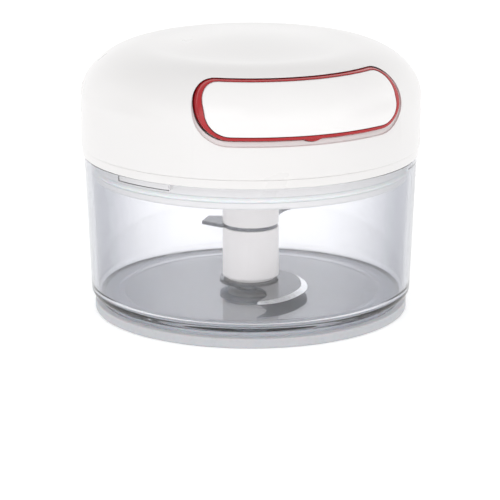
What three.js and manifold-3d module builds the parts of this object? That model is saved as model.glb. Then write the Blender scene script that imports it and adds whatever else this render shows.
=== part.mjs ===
// A mini food chopper: a clear bowl with a two-bladed rotor on a pin, under a white lid.
// The lid holds a sprung reel. A red-rimmed handle in the lid's front pulls the reel's cord,
// and the reel turns the rotor through two pawls and a hexagonal drive.
// Lengths are millimetres. +Z is up, the origin is the middle of the base pad's underside,
// and the handle is pulled along -Y.
import * as THREE from "three";
import { mergeVertices } from "three/addons/utils/BufferGeometryUtils.js";
import Module from "manifold-3d";

const wasm = await Module();
wasm.setup();

// Counts of flat sides on round pieces
const shellSides = 48;
const hubSides = 24;
const smallSides = 12;
const hexSides = 6;
const cornerSteps = 3;
const shoulderSteps = 6;
const crownSteps = 3;
const bladeSteps = 4;

// Clearances and overrun
const seat = 0.05;
const runningGap = 0.3;
const pressGap = 0.1;
const overrun = 1;

// Bowl and its non-slip pad. The rim sets the width: foot, neck and pad step in from it.
const bowlRimRadius = 58.3;
const bowlRimHeight = 56;
const bowlWall = 2.5;
const bowlTaper = 2.2;
const neckInset = 3.3;
const neckHeight = 1.9;
const padInset = 1.2;
const padThick = 3.4;
const padKeyInset = 8.2;
const padKeyWidth = 2;
const padKeyHeight = 1.4;
const bowlFootRadius = bowlRimRadius - bowlTaper;
const neckRadius = bowlFootRadius - neckInset;
const padRadius = bowlFootRadius - padInset;
const padKeyRadius = padRadius - padKeyInset;
const bowlFloorThick = 3.6;
const bowlOuterCorner = 2.8;
const bowlInnerCorner = 3;
const pinRadius = 2.5;
const pinHeight = 17;
const pinBuried = 2.2;
const pinBossRadius = 5.5;
const pinBossHeight = 0.8;

// Three keys under the lid's flange, in three pockets inside the bowl's rim
const keyCount = 3;
const keyFirstTurn = 60;
const keyTurn = 22;
const keyHeight = 2.3;
const keyReach = 2.3;

// Rotor
const hubRadius = 9.9;
const hubCoreRadius = 5.8;
const hubFootRadius = 8;
const hubFootThick = 1;
const hubFootGap = 0.3;
const bladeThick = 1.2;
const bladeHoleGap = 0.15;
const sleeveNeckRadius = 8.6;
const sleeveNeckHeight = 1;
const sleeveLength = 17.8;
const headDrop = 9.65;
const driveAcrossCorners = 13.8;
const driveLength = 8;
const driveChamfer = 1;
const bushWall = 1.6;
const bushLength = 9;
const lowerBladeReach = 33;
const upperBladeReach = 33;
const lowerRingRadius = 10.9;
const upperRingRadius = 10.1;
const lowerBladeTurn = -20.5;
const upperBladeTurn = -20.5;

// Lid base: its skirt hangs inside the bowl's wall and its flange covers the bowl's rim
const flangeProud = 0.5;
const flangeThick = 3;
const flangeSpigotHeight = 3;
const flangeRadius = bowlRimRadius + flangeProud;
const skirtGap = 1.2;
const skirtRadius = bowlRimRadius - bowlWall - skirtGap;
const skirtWall = 2.2;
const skirtDepth = 8;
const skirtCorner = 1.6;
const plateDepth = 6;
const plateThick = 2.4;
const collarWall = 2.6;
const collarHeight = 6;
const sealDepth = 5.6;
const sealHeight = 2;
const sealGroove = 1;
const sealProud = 0.65;

// Lid cover
const coverProud = 0.5;
const coverRadius = flangeRadius + coverProud;
const coverWall = 2.2;
const shoulderRise = 17.7;
const roofGap = 0.25;
const crownMargin = 6.5;
const crownRise = 2.6;
const shoulderPower = 1.9;
const postRadius = 4.5;
const postClear = 1.6;
const screwInset = 8.6;
const screwCircle = skirtRadius - screwInset;
const screwCount = 4;
const screwFirstTurn = 45;
const screwBossRadius = 3.6;
const screwShank = 1.3;
const screwLength = 8;
const screwHeadRadius = 2.7;
const screwHeadThick = 1.5;

// Handle, seen along its pull: a rounded bar, nearly level with the lid's shoulder. The pocket
// leaves it a gap all round, and the widest is below, where the fingers take hold.
const handleWidth = 73.6;
const handleHeight = 19.4;
const handleCornerShare = 0.46;
const handleRaise = 3.75;
const handleDepth = 25;
const handleProud = 1;
const handleSunk = 3.7;
const handleRiseShare = 0.4;
const handleRimSide = 1.7;
const handleRimBelow = 1.05;
const handleRimAbove = 0.5;
const handleRimStep = 0.25;
const handleLedge = 0.7;
const handleBack = 1.4;
const plateFace = 2.2;
const pocketSunk = 4.5;
const pocketSide = 1.3;
const pocketBelow = 2.2;
const pocketAbove = 0.3;
const pocketWall = 1.8;
const handleScrewSpread = 15;
const handleScrewRadius = 0.9;
const handleScrewHead = 2;
const handleScrewHeadThick = 0.8;
const handleScrewLength = 2.8;
const handleBossRadius = 3.4;

// Cord
const cordRadius = 0.7;
const cordBore = 1.2;
const cordBossRadius = 6.9;
const cordBossStep = 0.9;
const knotRadius = 1.8;
const knotThick = 1.6;
const eyeletRadius = 2.4;
const eyeletFlange = 3.4;
const eyeletBossRadius = 5.2;
const eyeletSetback = 1;
const eyeletFlangeThick = 0.9;
const eyeletSunk = 1.2;
const eyeletLength = 3.5;
const cordSides = 8;
const cordSteps = 16;

// Reel
const reelRadius = 30;
const drumRadius = 20;
const drumWall = 2;
const flangeSheet = 1.5;
const grooveHeight = 8;
const windingThick = 2.4;
const ratchetRadius = 27;
const ratchetHeight = 7;
const toothCount = 12;
const toothRoot = 24.4;
const toothTip = 22.2;
const toothLean = 0.4;
const reelHubWall = 2.4;
const reelHubGap = 0.4;
const chamberRadius = 27.6;
const chamberWall = 2;
const chamberHeight = 6.5;
const springTurns = 6;
const springThick = 0.5;
const springHeight = 5.4;
const springSteps = 10;
const springInner = 5.1;
const springCoverThick = 1.2;

// Drive carrier under the reel
const carrierSleeve = 9;
const carrierDisc = 21;
const carrierDiscThick = 2.6;
const socketGap = 0.35;
const socketRoof = 2;
const carrierBore = 6.6;
const washerThick = 0.7;
const retainerRadius = 10.9;
const retainerThick = 0.9;
const retainerGrip = 0.5;
const retainerOpening = 40;
const pawlPivot = 13.5;
const pawlPin = 1.5;
const pawlHead = 3;
const pawlThick = 5;
const pawlTipRadius = 23;
const pawlFree = 1.25;
const pawlTipTurn = -42;
const pawlTipWidth = 1.7;
const pawlHeelWidth = 4.4;
const axleWasherRadius = 7;
const axleScrewRadius = 1.5;
const axleHeadRadius = 4.2;
const axleHeadThick = 2.6;
const axleScrewLength = 12;

// Heights that follow from the sizes above
const floorHeight = padThick + bowlFloorThick;
const lowerBladeHeight = hubFootGap + pinBossHeight + hubFootThick;
const sleeveHeight = lowerBladeHeight + bladeThick;
const upperBladeHeight = sleeveHeight + sleeveNeckHeight + sleeveLength;
const headHeight = upperBladeHeight + bladeThick;
const lidHeight = bowlRimHeight + seat;
const headTop = -headDrop;
const headLength = lidHeight + headTop - floorHeight - headHeight;
const plateTop = plateThick - plateDepth;
const collarBore = carrierSleeve + runningGap;
const discHeight = collarHeight + washerThick + 2 * seat;
const pawlHeight = discHeight + carrierDiscThick + runningGap;
const postEnd = discHeight + carrierDiscThick + postClear;
const axleWasherHeight = postEnd - seat - washerThick;
const ratchetLow = discHeight + carrierDiscThick + 2 * runningGap;
const lowerFlangeHeight = ratchetLow + ratchetHeight;
const cordHeight = lowerFlangeHeight + flangeSheet + grooveHeight / 2;
const upperFlangeHeight = cordHeight + grooveHeight / 2;
const chamberLow = upperFlangeHeight + flangeSheet;
const chamberTop = chamberLow + chamberHeight + seat;
const stackTop = chamberTop + springCoverThick;
const shoulderStart = stackTop + roofGap + coverWall - shoulderRise;
const crownRadius = reelRadius + crownMargin;
const handleMiddle = cordHeight + handleRaise;
const handleCorner = handleHeight * handleCornerShare;
const windingRadius = drumRadius + windingThick;
const spigotRadius = coverRadius - coverWall - runningGap;
const screwEnd = plateTop + screwLength;
const axleScrewEnd = postEnd + axleScrewLength;
const carrierLow = headTop + 2 * runningGap;
const socketTop = headTop + driveLength + 2 * runningGap;
const retainerLow = -plateDepth - runningGap - retainerThick;

// Turns in degrees that follow from sizes along the ratchet's circle. At rest each pawl stands
// a little short of its tooth, so that it swings in past the tooth's tip.
const toothLeanTurn = THREE.MathUtils.radToDeg(toothLean / toothRoot);
const pawlFreeTurn = THREE.MathUtils.radToDeg(pawlFree / pawlTipRadius);

// Turns a closed three.js geometry into a solid that can be cut and joined.
function solid(geometry) {
  geometry.deleteAttribute("normal");
  geometry.deleteAttribute("uv");
  const merged = mergeVertices(geometry);
  const vertProperties = merged.attributes.position.array;
  const triVerts = new Uint32Array(merged.index.array);
  return new wasm.Manifold(new wasm.Mesh({ numProp: 3, vertProperties, triVerts }));
}

// A solid of revolution about Z from [radius, height] points, anticlockwise round its section.
function revolve(profile, sides = hubSides) {
  const outline = profile.map(([r, z]) => new THREE.Vector2(r, z));
  const geometry = new THREE.LatheGeometry(outline, sides);
  geometry.rotateX(Math.PI / 2);
  return solid(geometry);
}

function disc(radius, low, high, sides = hubSides) {
  return revolve([[0, low], [radius, low], [radius, high], [0, high]], sides);
}

function ring(inner, outer, low, high, sides = hubSides) {
  return revolve([[inner, low], [outer, low], [outer, high], [inner, high], [inner, low]], sides);
}

// A flat outline raised from one height to another.
function prism(shape, low, high, curveSegments = cornerSteps) {
  const options = { depth: high - low, bevelEnabled: false, curveSegments };
  const geometry = new THREE.ExtrudeGeometry(shape, options);
  geometry.translate(0, 0, low);
  return solid(geometry);
}

// A round bar along -Y, from one distance in front of the axis to another.
function barForward(radius, near, far, x, z, sides = smallSides) {
  const outline = [[0, near], [radius, near], [radius, far], [0, far]];
  const geometry = new THREE.LatheGeometry(
    outline.map(([r, y]) => new THREE.Vector2(r, y)),
    sides,
  );
  geometry.rotateX(Math.PI);
  geometry.translate(x, 0, z);
  return solid(geometry);
}

// Points of a quarter round about a centre, from one angle in degrees to another.
function corner(centreR, centreZ, radius, from, to) {
  return Array.from({ length: cornerSteps + 1 }, (_, i) => {
    const angle = THREE.MathUtils.degToRad(from + ((to - from) * i) / cornerSteps);
    return [centreR + radius * Math.cos(angle), centreZ + radius * Math.sin(angle)];
  });
}

// A slice of a ring between two directions in degrees, where 0 is the pull direction, -Y.
function arcBlock(inner, outer, from, to, low, high, steps = cornerSteps) {
  const start = THREE.MathUtils.degToRad(from - 90);
  const end = THREE.MathUtils.degToRad(to - 90);
  const shape = new THREE.Shape();
  shape.absarc(0, 0, outer, start, end, false);
  shape.absarc(0, 0, inner, end, start, true);
  return prism(shape, low, high, steps);
}

function polar(radius, degrees) {
  const angle = THREE.MathUtils.degToRad(degrees);
  return new THREE.Vector2(radius * Math.cos(angle), radius * Math.sin(angle));
}

const screwPlaces = Array.from({ length: screwCount }, (_, i) =>
  polar(screwCircle, screwFirstTurn + (i * 360) / screwCount),
);

function material(color, roughness, metalness = 0) {
  return new THREE.MeshStandardMaterial({ color, roughness, metalness });
}

const whitePlastic = material("#f1f0ef", 0.3);
const redPlastic = material("#c01a22", 0.3);
const clearPlastic = material("#e6eaee", 0.08);
clearPlastic.transparent = true;
clearPlastic.opacity = 0.3;
const greySilicone = material("#c9ccd0", 0.6);
const bladeSteel = material("#c4c6c9", 0.22, 1);
const springSteel = material("#8d9196", 0.35, 1);
const zincSteel = material("#b5b8bb", 0.35, 1);
const acetal = material("#ece9e0", 0.45);
const greyNylon = material("#9aa0a6", 0.5);
const cordWhite = material("#e8e6e0", 0.8);

function mesh(name, body, finish) {
  const { vertProperties, triVerts } = body.getMesh();
  const geometry = new THREE.BufferGeometry();
  geometry.setAttribute("position", new THREE.BufferAttribute(vertProperties, 3));
  geometry.setIndex(new THREE.BufferAttribute(triVerts, 1));
  geometry.computeVertexNormals();
  const piece = new THREE.Mesh(geometry, finish);
  piece.name = name;
  return piece;
}

const chopper = new THREE.Group();
const rotor = new THREE.Group();
rotor.position.z = floorHeight;
const lid = new THREE.Group();
lid.position.z = lidHeight;
chopper.add(rotor, lid);

// Bowl: its wall widens from foot to rim, over a recessed neck and a grooved underside
function bowlOuter(z) {
  const share = (z - padThick) / (bowlRimHeight - padThick);
  return bowlFootRadius + (bowlRimRadius - bowlFootRadius) * share;
}

function makeBowl() {
  const low = padThick + seat;
  const neckTop = padThick + neckHeight;
  const wallStart = floorHeight + bowlInnerCorner;
  const innerStart = bowlOuter(wallStart) - bowlWall;
  let bowl = revolve(
    [
      [0, low],
      [neckRadius, low],
      [neckRadius, neckTop],
      ...corner(bowlFootRadius - bowlOuterCorner, neckTop + bowlOuterCorner, bowlOuterCorner, -90, 0),
      [bowlRimRadius, bowlRimHeight],
      [bowlRimRadius - bowlWall, bowlRimHeight],
      ...corner(innerStart - bowlInnerCorner, wallStart, bowlInnerCorner, 0, -90),
      [pinBossRadius, floorHeight],
      [pinBossRadius, floorHeight + pinBossHeight],
      [0, floorHeight + pinBossHeight],
    ],
    shellSides,
  );
  const groove = ring(
    padKeyRadius - padKeyWidth - pressGap,
    padKeyRadius + pressGap,
    padThick - overrun,
    padThick + padKeyHeight + runningGap,
    shellSides,
  );
  bowl = bowl.subtract(groove);
  const pinHoleTop = floorHeight + pinBossHeight + overrun;
  bowl = bowl.subtract(disc(pinRadius + pressGap, floorHeight - pinBuried, pinHoleTop, smallSides));
  for (let i = 0; i < keyCount; i++) {
    const middle = keyFirstTurn + (i * 360) / keyCount;
    const half = keyTurn / 2 + THREE.MathUtils.radToDeg(runningGap / skirtRadius);
    const pocket = arcBlock(
      skirtRadius,
      skirtRadius + keyReach + runningGap,
      middle - half,
      middle + half,
      bowlRimHeight - keyHeight - runningGap,
      bowlRimHeight + overrun,
    );
    bowl = bowl.subtract(pocket);
  }
  return bowl;
}

const pad = disc(padRadius, 0, padThick, shellSides).add(
  ring(padKeyRadius - padKeyWidth, padKeyRadius, padThick - seat, padThick + padKeyHeight, shellSides),
);
const pin = revolve(
  [
    [0, floorHeight - pinBuried + seat],
    [pinRadius, floorHeight - pinBuried + seat],
    [pinRadius, floorHeight + pinHeight - pinRadius],
    ...corner(0, floorHeight + pinHeight - pinRadius, pinRadius, 0, 90),
  ],
  smallSides,
);
chopper.add(
  mesh("bowl", makeBowl(), clearPlastic),
  mesh("base_pad", pad, greySilicone),
  mesh("centre_pin", pin, zincSteel),
);

// Rotor: a foot and core tube carry the lower blade, the sleeve, the upper blade and the head
const bushBore = pinRadius + runningGap;
const bushRadius = bushBore + bushWall;
const coreHole = hubCoreRadius + bladeHoleGap;
const coreTop = headHeight + headLength / 2;
const footHeight = lowerBladeHeight - hubFootThick;
const bushStart = sleeveHeight + sleeveNeckHeight;
const core = disc(hubFootRadius, footHeight, lowerBladeHeight - seat)
  .add(disc(hubCoreRadius, footHeight, coreTop))
  .subtract(disc(bushBore + runningGap, footHeight - overrun, bushStart + overrun))
  .subtract(disc(bushRadius + pressGap, bushStart, coreTop - bushWall));
const bush = ring(bushBore, bushRadius, bushStart + seat, bushStart + bushLength);

function makeSleeve() {
  const low = sleeveHeight + seat;
  const high = upperBladeHeight - seat;
  return revolve([
    [coreHole, low],
    [sleeveNeckRadius, low],
    [sleeveNeckRadius, low + sleeveNeckHeight],
    [hubRadius, low + sleeveNeckHeight],
    [hubRadius, high],
    [coreHole, high],
    [coreHole, low],
  ]);
}

function makeHead() {
  const top = headHeight + headLength;
  const hex = driveAcrossCorners / 2;
  const drive = revolve(
    [
      [0, top - overrun],
      [hex, top - overrun],
      [hex, top + driveLength - driveChamfer],
      [hex - driveChamfer, top + driveLength],
      [0, top + driveLength],
    ],
    hexSides,
  );
  return disc(hubRadius, headHeight + seat, top)
    .add(drive)
    .subtract(disc(coreHole, headHeight - overrun, coreTop + seat));
}

// A blade: a ring round the core and one curved arm. Its outline starts at the tip, runs down
// the convex edge to the ring, and back up the hollow edge. Shares are of the blade's reach.
const lowerConvexShares = [
  [0.27, -0.92],
  [0.45, -0.73],
  [0.585, -0.43],
  [0.59, -0.12],
  [0.5, 0.15],
  [0.33, 0.3],
  [0.12, 0.31],
];
const lowerHollowShares = [
  [0.015, -0.33],
  [0.11, -0.46],
  [0.164, -0.62],
  [0.158, -0.79],
];
const lowerTipShare = [0.06, -1];
const upperConvexShares = [
  [0.35, 0.945],
  [0.04, 0.87],
  [-0.19, 0.67],
  [-0.28, 0.42],
  [-0.287, 0.27],
];
const upperHeelShares = [
  [-0.455, 0.267],
  [-0.52, 0.048],
  [-0.31, -0.11],
];
const upperHollowShares = [
  [0.28, 0.13],
  [0.295, 0.38],
  [0.37, 0.6],
  [0.49, 0.74],
];
const upperTipShare = [0.65, 0.79];

function makeBlade(reach, ringRadius, tipShare, convexShares, heelShares, hollowShares, low) {
  const points = (shares) => shares.map(([x, y]) => new THREE.Vector2(x * reach, y * reach));
  const [tip] = points([tipShare]);
  const shape = new THREE.Shape();
  shape.moveTo(tip.x, tip.y);
  shape.splineThru(points(convexShares));
  for (const point of points(heelShares)) shape.lineTo(point.x, point.y);
  const [hollowStart, ...hollowRest] = points(hollowShares);
  shape.lineTo(0, 0);
  shape.lineTo(hollowStart.x, hollowStart.y);
  shape.splineThru([...hollowRest, tip]);
  return prism(shape, low, low + bladeThick, bladeSteps)
    .add(disc(ringRadius, low, low + bladeThick))
    .subtract(disc(coreHole, low - overrun, low + bladeThick + overrun));
}

const lowerBlade = mesh(
  "lower_blade",
  makeBlade(
    lowerBladeReach,
    lowerRingRadius,
    lowerTipShare,
    lowerConvexShares,
    [],
    lowerHollowShares,
    lowerBladeHeight,
  ),
  bladeSteel,
);
const upperBlade = mesh(
  "upper_blade",
  makeBlade(
    upperBladeReach,
    upperRingRadius,
    upperTipShare,
    upperConvexShares,
    upperHeelShares,
    upperHollowShares,
    upperBladeHeight,
  ),
  bladeSteel,
);
lowerBlade.rotation.z = THREE.MathUtils.degToRad(lowerBladeTurn);
upperBlade.rotation.z = THREE.MathUtils.degToRad(upperBladeTurn);
rotor.add(
  mesh("hub_core", core, acetal),
  lowerBlade,
  mesh("hub_sleeve", makeSleeve(), whitePlastic),
  upperBlade,
  mesh("hub_head", makeHead(), whitePlastic),
  mesh("hub_bush", bush, acetal),
);

// Lid base: flange, skirt, floor plate and the collar that the drive turns in
function makeLidBase() {
  const inner = skirtRadius - skirtWall;
  const grooveFloor = skirtRadius - sealGroove;
  let base = revolve(
    [
      [collarBore, -plateDepth],
      [inner, -plateDepth],
      [inner, -skirtDepth],
      ...corner(skirtRadius - skirtCorner, skirtCorner - skirtDepth, skirtCorner, -90, 0),
      [skirtRadius, -sealDepth],
      [grooveFloor, -sealDepth],
      [grooveFloor, sealHeight - sealDepth],
      [skirtRadius, sealHeight - sealDepth],
      [skirtRadius, 0],
      [flangeRadius, 0],
      [flangeRadius, flangeThick],
      [spigotRadius, flangeThick],
      [spigotRadius, flangeThick + flangeSpigotHeight],
      [inner, flangeThick + flangeSpigotHeight],
      [inner, plateTop],
      [collarBore + collarWall, plateTop],
      [collarBore + collarWall, collarHeight],
      [collarBore, collarHeight],
      [collarBore, -plateDepth],
    ],
    shellSides,
  );
  for (let i = 0; i < keyCount; i++) {
    const middle = keyFirstTurn + (i * 360) / keyCount;
    const key = arcBlock(
      skirtRadius - skirtWall / 2,
      skirtRadius + keyReach,
      middle - keyTurn / 2,
      middle + keyTurn / 2,
      -keyHeight,
      flangeThick / 2,
    );
    base = base.add(key);
  }
  for (const place of screwPlaces) {
    const hole = disc(screwShank + runningGap, -plateDepth - overrun, plateTop + overrun, smallSides);
    base = base.subtract(hole.translate(place.x, place.y, 0));
  }
  return base;
}

function makeSeal() {
  const inner = skirtRadius - sealGroove + seat;
  const outer = skirtRadius + sealProud;
  const low = seat - sealDepth;
  const high = sealHeight - sealDepth - seat;
  const middle = (low + high) / 2;
  return revolve(
    [
      [inner, low],
      [skirtRadius, low],
      [outer, middle],
      [skirtRadius, high],
      [inner, high],
      [inner, low],
    ],
    shellSides,
  );
}

// The lid's outside, moved out by some distance: a round wall, a full shoulder and a low crown.
// Its top is raised by a share of that distance.
function dome(out, low, riseShare = 1) {
  const roof = shoulderRise + out * riseShare;
  const shoulder = Array.from({ length: shoulderSteps + 1 }, (_, i) => {
    const angle = (i / shoulderSteps) * (Math.PI / 2);
    const across = Math.max(Math.cos(angle), 0) ** (2 / shoulderPower);
    const up = Math.sin(angle) ** (2 / shoulderPower);
    return [
      crownRadius + (coverRadius - crownRadius + out) * across,
      shoulderStart + roof * up,
    ];
  });
  const crown = Array.from({ length: crownSteps }, (_, i) => {
    const share = 1 - (i + 1) / crownSteps;
    const rise = crownRise * (1 - share * share) ** 2;
    return [crownRadius * share, shoulderStart + roof + rise];
  });
  return revolve([[0, low], [coverRadius + out, low], ...shoulder, ...crown], shellSides);
}

// The handle's outline as a bar along the pull between two distances, grown by margins at its
// sides, its bottom and its top
function handleBar([side, below, above], near, far) {
  const right = handleWidth / 2 + side;
  const low = handleMiddle - handleHeight / 2 - below;
  const high = handleMiddle + handleHeight / 2 + above;
  const round = handleCorner + side;
  const shape = new THREE.Shape();
  shape.absarc(right - round, low + round, round, -Math.PI / 2, 0, false);
  shape.absarc(right - round, high - round, round, 0, Math.PI / 2, false);
  shape.absarc(round - right, high - round, round, Math.PI / 2, Math.PI, false);
  shape.absarc(round - right, low + round, round, Math.PI, 1.5 * Math.PI, false);
  const geometry = new THREE.ExtrudeGeometry(shape, {
    depth: far - near,
    bevelEnabled: false,
    curveSegments: cornerSteps,
  });
  geometry.rotateX(Math.PI / 2);
  geometry.translate(0, -near, 0);
  return solid(geometry);
}

// A surface of the handle or of its pocket. It follows the lid's wall, and lies nearer to the
// lid's roof at the top.
function handleDome(out) {
  return dome(out, flangeThick, handleRiseShare);
}

// How far in front of the axis the lid's side wall lies, moved out by some distance
function front(x, out) {
  return Math.sqrt((coverRadius + out) ** 2 - x * x);
}

const far = coverRadius + 2 * handleProud;
const handleNear = coverRadius - handleDepth;
const pocketNear = handleNear - (pocketSunk - handleSunk);
const pocketMargins = [pocketSide, pocketBelow, pocketAbove];
const pocketWallMargins = pocketMargins.map((margin) => margin + pocketWall);
const pocketFloor = handleDome(-pocketSunk);
const roofPeak = shoulderStart + shoulderRise + crownRise;
const slabInner = front(0, -pocketSunk - pocketWall);
const eyeletFace = slabInner - eyeletSetback;

function makeCover() {
  const low = flangeThick + seat;
  const inside = dome(-coverWall, low - overrun);
  const roof = dome(-coverWall / 2, low - skirtDepth - overrun);
  let cover = dome(0, low).subtract(inside);
  cover = cover.add(disc(postRadius, postEnd, roofPeak).intersect(roof));
  for (const place of screwPlaces) {
    const boss = disc(screwBossRadius, plateTop + seat, roofPeak, smallSides);
    cover = cover.add(boss.translate(place.x, place.y, 0).intersect(roof));
  }
  const slab = dome(0, low).subtract(handleDome(-pocketSunk - pocketWall));
  const walls = handleBar(pocketWallMargins, pocketNear - pocketWall, far);
  cover = cover.add(slab.intersect(walls));
  cover = cover.subtract(handleBar(pocketMargins, pocketNear, far).subtract(pocketFloor));
  for (const place of screwPlaces) {
    const hole = disc(screwShank + pressGap, plateTop - overrun, screwEnd + seat + pressGap, smallSides);
    cover = cover.subtract(hole.translate(place.x, place.y, 0));
  }
  const axleHoleEnd = axleScrewEnd + runningGap;
  cover = cover.subtract(disc(axleScrewRadius + pressGap, postEnd - overrun, axleHoleEnd, smallSides));
  const eyeletBoss = barForward(
    eyeletBossRadius,
    eyeletFace - eyeletFlangeThick,
    slabInner + pocketWall / 2,
    0,
    cordHeight,
  );
  return cover
    .add(eyeletBoss.intersect(handleDome(-pocketSunk - pocketWall / 2)))
    .subtract(barForward(eyeletFlange + pressGap, pocketNear, eyeletFace + seat, 0, cordHeight))
    .subtract(barForward(eyeletRadius + pressGap, pocketNear, far, 0, cordHeight));
}

// A screw pointing up: its head is under height zero and its shank above
function makeScrew(shank, length, headRadius, headThick) {
  return revolve(
    [
      [0, -headThick],
      [headRadius, -headThick],
      [headRadius, -seat],
      [shank, -seat],
      [shank, length],
      [0, length],
    ],
    smallSides,
  );
}

lid.add(
  mesh("lid_base", makeLidBase(), whitePlastic),
  mesh("seal_ring", makeSeal(), greySilicone),
  mesh("top_cover", makeCover(), whitePlastic),
);
screwPlaces.forEach((place, i) => {
  const body = makeScrew(screwShank, screwEnd + plateDepth, screwHeadRadius, screwHeadThick);
  const screw = mesh(`lid_screw_${i + 1}`, body, zincSteel);
  screw.position.set(place.x, place.y, -plateDepth);
  lid.add(screw);
});
const axleScrew = mesh(
  "axle_screw",
  makeScrew(axleScrewRadius, axleScrewEnd - axleWasherHeight, axleHeadRadius, axleHeadThick),
  zincSteel,
);
axleScrew.position.z = axleWasherHeight;
const axleWasher = ring(
  axleScrewRadius + pressGap,
  axleWasherRadius,
  axleWasherHeight,
  axleWasherHeight + washerThick,
);
const thrustWasher = ring(collarBore, collarBore + collarWall, collarHeight + seat, discHeight - seat);
const eyeletEnd = front(0, -pocketSunk) - eyeletSunk;
const eyelet = barForward(eyeletRadius, eyeletEnd - eyeletLength, eyeletEnd, 0, cordHeight)
  .add(barForward(eyeletFlange, eyeletFace - eyeletFlangeThick, eyeletFace, 0, cordHeight))
  .subtract(barForward(cordBore, pocketNear, far, 0, cordHeight));
lid.add(
  axleScrew,
  mesh("axle_washer", axleWasher, zincSteel),
  mesh("thrust_washer", thrustWasher, acetal),
  mesh("cord_eyelet", eyelet, zincSteel),
);

// Handle: a red tray that follows the lid's shoulder, with a white face on a ledge inside its rim
const rimMargins = [-handleRimSide, -handleRimBelow, -handleRimAbove];
const ledgeMargins = rimMargins.map((margin) => margin - handleLedge);
const plateMargins = rimMargins.map((margin) => margin - pressGap);
const backFace = handleBack - handleSunk;
const screwSeatY = front(handleScrewSpread, -handleSunk) + handleScrewHeadThick + runningGap;
const handleScrewEnd = screwSeatY + handleScrewLength;
const knotStart = front(0, backFace) + seat;
const knotEnd = knotStart + knotThick;
const faceUnder = handleProud - plateFace;

function makeHandleFrame() {
  const back = handleDome(-handleSunk);
  const outer = handleDome(handleProud - handleRimStep).subtract(back);
  const opening = handleBar(rimMargins, handleNear + handleBack, far);
  const room = handleBar(ledgeMargins, handleNear + handleBack, far);
  let frame = handleBar([0, 0, 0], handleNear, far)
    .intersect(outer)
    .subtract(opening.subtract(handleDome(faceUnder - pressGap)))
    .subtract(room.subtract(handleDome(backFace)));
  const bossTop = handleDome(faceUnder - pressGap).subtract(back);
  for (const side of [-1, 1]) {
    const x = side * handleScrewSpread;
    frame = frame.add(barForward(handleBossRadius, pocketNear, far, x, cordHeight).intersect(bossTop));
    frame = frame.subtract(barForward(handleScrewHead + pressGap, pocketNear, screwSeatY, x, cordHeight));
    frame = frame.subtract(barForward(handleScrewRadius + pressGap, pocketNear, far, x, cordHeight));
  }
  const cordBoss = barForward(cordBossRadius, pocketNear, far, 0, cordHeight);
  frame = frame.add(cordBoss.intersect(bossTop));
  const lug = cordBoss.intersect(handleDome(handleProud - cordBossStep).subtract(back));
  frame = frame.add(lug.subtract(opening));
  frame = frame.subtract(barForward(cordBore, pocketNear, knotEnd, 0, cordHeight));
  return frame.subtract(barForward(knotRadius + runningGap, knotStart - seat, far, 0, cordHeight));
}

function makeHandlePlate() {
  const skin = handleDome(handleProud).subtract(handleDome(faceUnder));
  let plate = handleBar(plateMargins, handleNear, far).intersect(skin);
  for (const side of [-1, 1]) {
    const x = side * handleScrewSpread;
    const end = handleScrewEnd + pressGap;
    plate = plate.subtract(barForward(handleScrewRadius + pressGap, pocketNear, end, x, cordHeight));
  }
  const knotRoom = barForward(knotRadius + runningGap, pocketNear, knotEnd + runningGap, 0, cordHeight);
  return plate.subtract(knotRoom);
}

lid.add(
  mesh("handle_frame", makeHandleFrame(), redPlastic),
  mesh("handle_plate", makeHandlePlate(), whitePlastic),
);
[-1, 1].forEach((side, i) => {
  const x = side * handleScrewSpread;
  const headStart = screwSeatY - seat - handleScrewHeadThick;
  const head = barForward(handleScrewHead, headStart, screwSeatY - seat, x, cordHeight);
  const shank = barForward(handleScrewRadius, headStart, handleScrewEnd, x, cordHeight);
  lid.add(mesh(`handle_screw_${i + 1}`, head.add(shank), zincSteel));
});

// Cord: from the reel's winding, through the eyelet, to a knot inside the handle.
// The route is a list of places in plan, at the height of the cord groove.
const cordRoute = [
  [-20.48, -10.84],
  [-14.27, -22.52],
  [-8.09, -34.21],
  [-1.9, -45.9],
  [-0.35, -49.1],
  [0, -51.2],
  [0, -54.2],
  [0, -56.95],
];

function makeCord() {
  const route = new THREE.CatmullRomCurve3(cordRoute.map(([x, y]) => new THREE.Vector3(x, y, cordHeight)));
  const section = new THREE.Shape();
  for (let i = 0; i < cordSides; i++) {
    const point = polar(cordRadius, (i * 360) / cordSides);
    if (i === 0) section.moveTo(point.x, point.y);
    else section.lineTo(point.x, point.y);
  }
  section.closePath();
  return solid(new THREE.ExtrudeGeometry(section, { steps: cordSteps, extrudePath: route }));
}

const knot = barForward(knotRadius, knotStart, knotEnd, 0, cordHeight);
lid.add(mesh("pull_cord", makeCord(), cordWhite), mesh("cord_knot", knot, cordWhite));

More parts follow.
